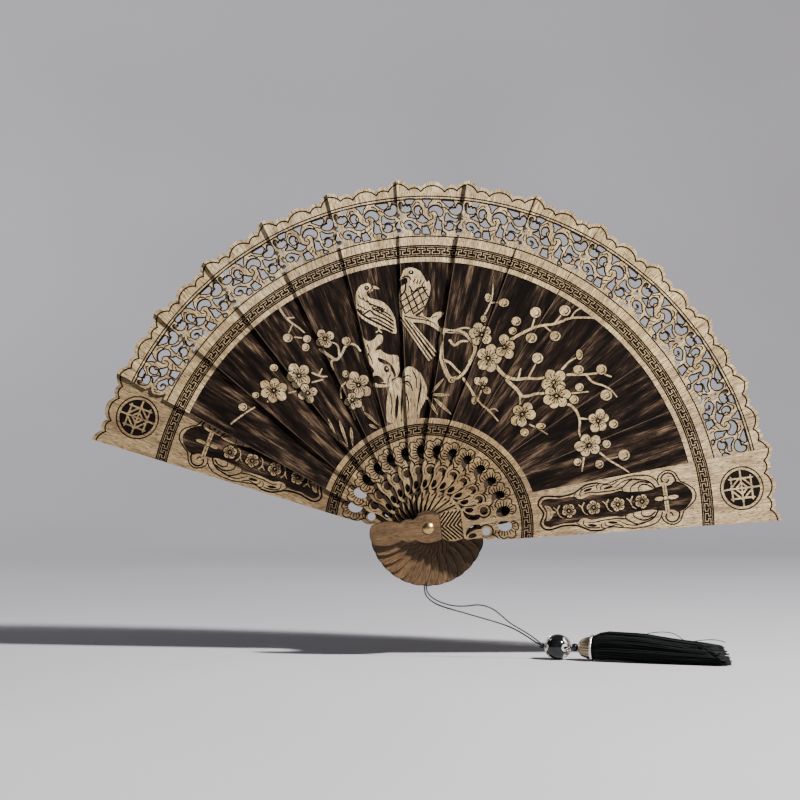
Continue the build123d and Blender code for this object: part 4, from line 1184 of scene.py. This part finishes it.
def tassel_point(along, aside, up):
    return np.array(BEAD_CENTRE) + along * ALONG + aside * ASIDE + up * UP


def ring_faces(rings, sides):
    """Faces between rings of vertices, with a cap on each end."""
    faces = []
    for i in range(rings - 1):
        for k in range(sides):
            n = (k + 1) % sides
            faces.append([i * sides + k, i * sides + n, (i + 1) * sides + n, (i + 1) * sides + k])
    faces.append(list(range(sides)))
    faces.append(list(range((rings - 1) * sides, rings * sides))[::-1])
    return faces


def smooth_mesh(name, vertices, faces):
    mesh = bpy.data.meshes.new(name)
    mesh.from_pydata(vertices, [], faces)
    mesh.shade_smooth()
    return mesh


def turned(name, profile, segments, radius_change=None):
    """A mesh turned about the tassel's axis from (along, radius) points; both ends lie near the axis."""
    vertices = []
    for along, radius in profile:
        for k in range(segments):
            angle = 2 * math.pi * k / segments
            r = radius + (radius_change(along, radius, k) if radius_change else 0)
            point = tassel_point(along, r * math.cos(angle), r * math.sin(angle))
            vertices.append(tuple(point * MM))
    mesh = smooth_mesh(name, vertices, ring_faces(len(profile), segments))
    mesh.set_sharp_from_angle(angle=math.radians(50))
    return mesh


def ball_profile(radius, along, hole, count=40):
    start = math.asin(hole / radius)
    angles = [start + (math.pi - 2 * start) * k / count for k in range(count + 1)]
    return [(along - radius * math.cos(a), radius * math.sin(a)) for a in angles]


add_object("black_bead", turned("black bead", ball_profile(BEAD_RADIUS, 0, 0.55), 80), "front_guard",
           [dark_glass], ["bead"])
add_object("small_bead", turned("small bead", ball_profile(2.25, 9.85, 0.55, 24), 48), "front_guard",
           [dark_glass], ["knot_bead"])


def lace_cap(name, side):
    """A silver cup of six pierced petals, bent over one pole of the bead."""
    petals = 6
    reach = BEAD_RADIUS * math.radians(58)
    outline = []
    for k in range(96):
        angle = 2 * math.pi * k / 96
        wave = abs(math.cos(petals * angle / 2))
        radius = reach * (0.62 + 0.38 * wave ** 0.7)
        outline.append((radius * math.cos(angle), radius * math.sin(angle)))
    layers = [(outline, WOOD)]
    for k in range(petals):
        turn = 360 / petals * k
        c, s = direction(turn)
        layers.append((ellipse(reach * 0.66 * c, reach * 0.66 * s, reach * 0.19, reach * 0.12, turn), OPEN))
        half = math.radians(turn + 180 / petals)
        layers.append((ellipse(reach * 0.42 * math.cos(half), reach * 0.42 * math.sin(half),
                               reach * 0.13, reach * 0.07, math.degrees(half)), OPEN))
        vein = [(reach * 0.2 * c, reach * 0.2 * s), (reach * 0.42 * c, reach * 0.42 * s)]
        layers.append((stroke(vein, 0.3), LINE))
    layers.append((ellipse(0, 0, 0.6, 0.6), OPEN))

    def place(x, r, depth):
        distance = math.hypot(x, r)
        angle = distance / BEAD_RADIUS
        radius = BEAD_RADIUS + (0.02 if depth is None else BEAD_CAP_THICKNESS - depth)
        around = (x / distance, r / distance) if distance else (1, 0)
        flat = radius * math.sin(angle)
        return tassel_point(side * radius * math.cos(angle), side * flat * around[0], flat * around[1])

    mesh = cut_relief(name, layers, place)
    mesh.polygons.foreach_set("material_index", [0] * len(mesh.polygons))
    return mesh


add_object("lace_cap_near", lace_cap("bead cap near", -1), "front_guard", [silver],
           ["bead_cap_near"])
add_object("lace_cap_far", lace_cap("bead cap far", 1), "front_guard", [silver], ["bead_cap_far"])

# the bell's profile, up its inside and down its outside: distance along the axis, radius
BELL = [
    (12.9, 0.6), (12.9, 2.1), (13.3, 2.9), (14.0, 3.9), (15.3, 4.7), (17.4, 5.35), (20.4, 6.15),
    (20.4, 6.75), (18.8, 6.45), (17.0, 5.98), (15.8, 5.55), (14.8, 5.2), (13.8, 4.6), (13.0, 3.7),
    (12.5, 2.9), (12.2, 2.3), (12.2, 0.6)]
RIBS = 26


def bell_rib(along, radius, k):
    """Flutes on the outside of the bell, fading out towards its neck."""
    if radius <= 2.2 or radius <= 6.15 - (20.4 - along) * 0.62 + 0.3:
        return 0
    flute = 0.5 - 0.5 * math.cos(2 * math.pi * k / 8)
    return -0.22 * flute * min(1, (along - 12.2) / 3)


def rim_knurl(along, radius, k):
    return 0.16 * (math.cos(2 * math.pi * k / 6) - 1) / 2 if radius > 7.0 else 0


add_object("tassel_bell", turned("tassel bell", BELL, RIBS * 8, bell_rib), "front_guard",
           [bell_metal], ["tassel_cap"])
RIM = [(20.4 + 0.7 * math.cos(a), 7.175 + 0.425 * math.sin(a)) for a in np.linspace(-math.pi, math.pi, 17)]
add_object("bell_rim", turned("bell rim", RIM, 180, rim_knurl), "front_guard", [silver],
           ["tassel_cap_rim"])

# distance along the skirt from its start, half width and height of the bundle there, as in the CAD model
SKIRT_SECTIONS = [(0.0, 5.8, 13.0), (3.5, 6.8, 15.8), (9.0, 7.6, 17.4), (30.0, 8.6, 16.6),
                  (50.0, 8.4, 13.8), (68.0, 7.8, 11.8), (82.0, 7.2, 10.2)]
SKIRT_START = 19.4
SKIRT_LENGTH = 82.0
THREADS = 620
THREAD_RADIUS = 0.27


def skirt_point(along, aside, up):
    """A point of the bundle; aside and up go from -1 to 1 across its section."""
    sections = np.array(SKIRT_SECTIONS)
    half = np.interp(along, sections[:, 0], sections[:, 1])
    height = np.interp(along, sections[:, 0], sections[:, 2])
    centre = max(height / 2, BEAD_RADIUS - 0.5 * along)
    level = centre + up * height / 2
    return tassel_point(SKIRT_START + along, aside * half, level - BEAD_RADIUS)


def tube(points, radius, vertices, faces):
    """Adds a thin closed tube along the points."""
    sides = 5
    first = len(vertices)
    for i, p in enumerate(points):
        tangent = points[min(i + 1, len(points) - 1)] - points[max(i - 1, 0)]
        tangent = tangent / np.linalg.norm(tangent)
        across = np.cross(tangent, UP)
        across = across / np.linalg.norm(across)
        over = np.cross(across, tangent)
        for k in range(sides):
            angle = 2 * math.pi * k / sides
            vertices.append(tuple((p + radius * (math.cos(angle) * across + math.sin(angle) * over)) * MM))
    for i in range(len(points) - 1):
        for k in range(sides):
            n = (k + 1) % sides
            a, b = first + i * sides, first + (i + 1) * sides
            faces.append([a + n, a + k, b + k, b + n])
    faces.append([first + k for k in range(sides)])
    faces.append([first + (len(points) - 1) * sides + k for k in reversed(range(sides))])


def add_skirt():
    """Several hundred threads, and a few that stand off the bundle."""
    chance = random.Random(11)
    vertices, faces = [], []
    for number in range(THREADS):
        angle = chance.uniform(0, 2 * math.pi)
        out = 0.93 * math.sqrt(chance.uniform(0.35, 1))
        aside, up = out * math.cos(angle), out * math.sin(angle)
        length = SKIRT_LENGTH * (0.99 - 0.05 * (1 + up) - chance.uniform(0, 0.09))
        drift = chance.uniform(-0.22, 0.22), chance.uniform(-0.16, 0.16)
        phase, swing = chance.uniform(0, 6.28), chance.uniform(0.01, 0.05)
        points = []
        for k in range(15):
            t = k / 14
            wave = swing * math.sin(phase + t * chance.uniform(5.5, 6.5)) * min(1, 3 * t)
            a = max(-0.95, min(0.95, aside + drift[0] * t + wave))
            limit = 0.95 * math.sqrt(max(0.05, 1 - a * a))
            b = max(-limit, min(limit, up + drift[1] * t - wave))
            points.append(skirt_point(0.2 + t * (length - 0.4), a, b))
        tube(points, THREAD_RADIUS, vertices, faces)
    # a loop of one thread on top of the bundle, and two loose ends
    loops = [
        [(32, 0.1, 0.95), (36, 0.1, 1.12), (41, 0.05, 1.28), (46, 0.0, 1.34), (50, -0.05, 1.2),
         (53, -0.1, 0.95)],
        [(58, 0.5, 0.9), (64, 0.56, 1.15), (70, 0.62, 1.3), (75, 0.7, 1.2)],
        [(60, -0.7, 0.7), (67, -0.95, 0.6), (74, -1.05, 0.1), (80, -1.1, -0.4)]]
    for points in loops:
        path = smooth([skirt_point(*p) for p in points], steps=4)
        tube([np.array(p) for p in path], 0.22, vertices, faces)
    mesh = smooth_mesh("tassel skirt", vertices, faces)
    return add_object("tassel_threads", mesh, "front_guard", [tassel_thread])


def add_skirt_heart():
    """The middle of the bundle, so that no light comes through it."""
    rings, segments = 18, 28
    vertices = []
    for i in range(rings):
        along = 0.3 + (SKIRT_LENGTH - 8) * i / (rings - 1)
        for k in range(segments):
            angle = 2 * math.pi * k / segments
            vertices.append(tuple(skirt_point(along, 0.8 * math.cos(angle), 0.8 * math.sin(angle)) * MM))
    mesh = smooth_mesh("tassel heart", vertices, ring_faces(rings, segments))
    return add_object("tassel_heart", mesh, "front_guard", [tassel_thread],
                      ["tassel_skirt"])


add_skirt()
add_skirt_heart()

# ---- CAD pieces that are shown as they are -----------------------------------------------------------
KEPT = {"rivet": brass, "rivet_washer": brass, "rivet_cap": brass,
        "cord_bight": thread, "cord_knot": thread, "tassel_core": thread}
for number in range(1, len(STICKS)):
    KEPT[f"link_ribbon_{number:02d}"] = ribbon_cloth
for node, material in KEPT.items():
    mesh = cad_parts[node].data
    mesh.materials.clear()
    mesh.materials.append(material)
    if not node.startswith("link_ribbon"):
        mesh.shade_smooth()
        mesh.set_sharp_from_angle(angle=math.radians(40))
for strand in strands:
    strand.data.materials.append(thread)


# ---- floor, light and air ------------------------------------------------------------------------------
def add_floor():
    """A pale floor that curves up into a pale wall, in metres."""
    half, front, turn, radius, top = 3.0, -2.5, 1.2, 0.8, 3.0
    line = [(front, 0.0), (turn, 0.0)]
    for k in range(1, 17):
        angle = math.pi / 2 * k / 16
        line.append((turn + radius * math.sin(angle), radius * (1 - math.cos(angle))))
    line.append((turn + radius, top))
    level = (SURFACE_Z - 0.15) * MM
    vertices = [(x, y, z + level) for y, z in line for x in (-half, half)]
    faces = [[2 * i, 2 * i + 1, 2 * i + 3, 2 * i + 2] for i in range(len(line) - 1)]
    mesh = smooth_mesh("floor", vertices, faces)
    floor = placed("floor", mesh)
    surface = Surface("floor", 0.85)
    surface.paint(surface.ramp(surface.noise((3, 3, 3), 1.0, uv=False), (0.3, colour(154, 153, 159)),
                               (0.7, colour(160, 159, 165))))
    floor.data.materials.append(surface.material)


def add_light(name, place, size, power, rgb, aim=(0, 0, 0.07)):
    """A round lamp; its place, size and aim are in metres."""
    data = bpy.data.lights.new(name, "AREA")
    data.shape = "DISK"
    data.size = size
    data.energy = power
    data.color = rgb
    lamp = placed(name, data)
    lamp.location = place
    lamp.rotation_euler = (Vector(aim) - Vector(place)).to_track_quat("-Z", "Y").to_euler()


add_floor()
add_light("key", (0.98, -0.78, 1.10), 0.14, 118, (1.0, 0.965, 0.93))
add_light("fill", (-0.5, -1.9, 0.5), 1.2, 0.5, (0.93, 0.96, 1.0))
add_light("backdrop light", (-1.5, 0.9, 1.5), 0.7, 25, (0.96, 0.97, 1.0), (-1.5, 2.0, 0.2))
world = bpy.data.worlds.new("studio")
bpy.context.scene.world = world
world.use_nodes = True
background = world.node_tree.nodes["Background"]
background.inputs["Color"].default_value = (0.80, 0.82, 0.86, 1)
# what the camera sees past the floor is pale, but little of that light falls on the fan
sight = world.node_tree.nodes.new("ShaderNodeLightPath")
strength = world.node_tree.nodes.new("ShaderNodeMapRange")
strength.inputs["To Min"].default_value = 0.03
strength.inputs["To Max"].default_value = 0.36
world.node_tree.links.new(sight.outputs["Is Camera Ray"], strength.inputs["Value"])
world.node_tree.links.new(strength.outputs["Result"], background.inputs["Strength"])
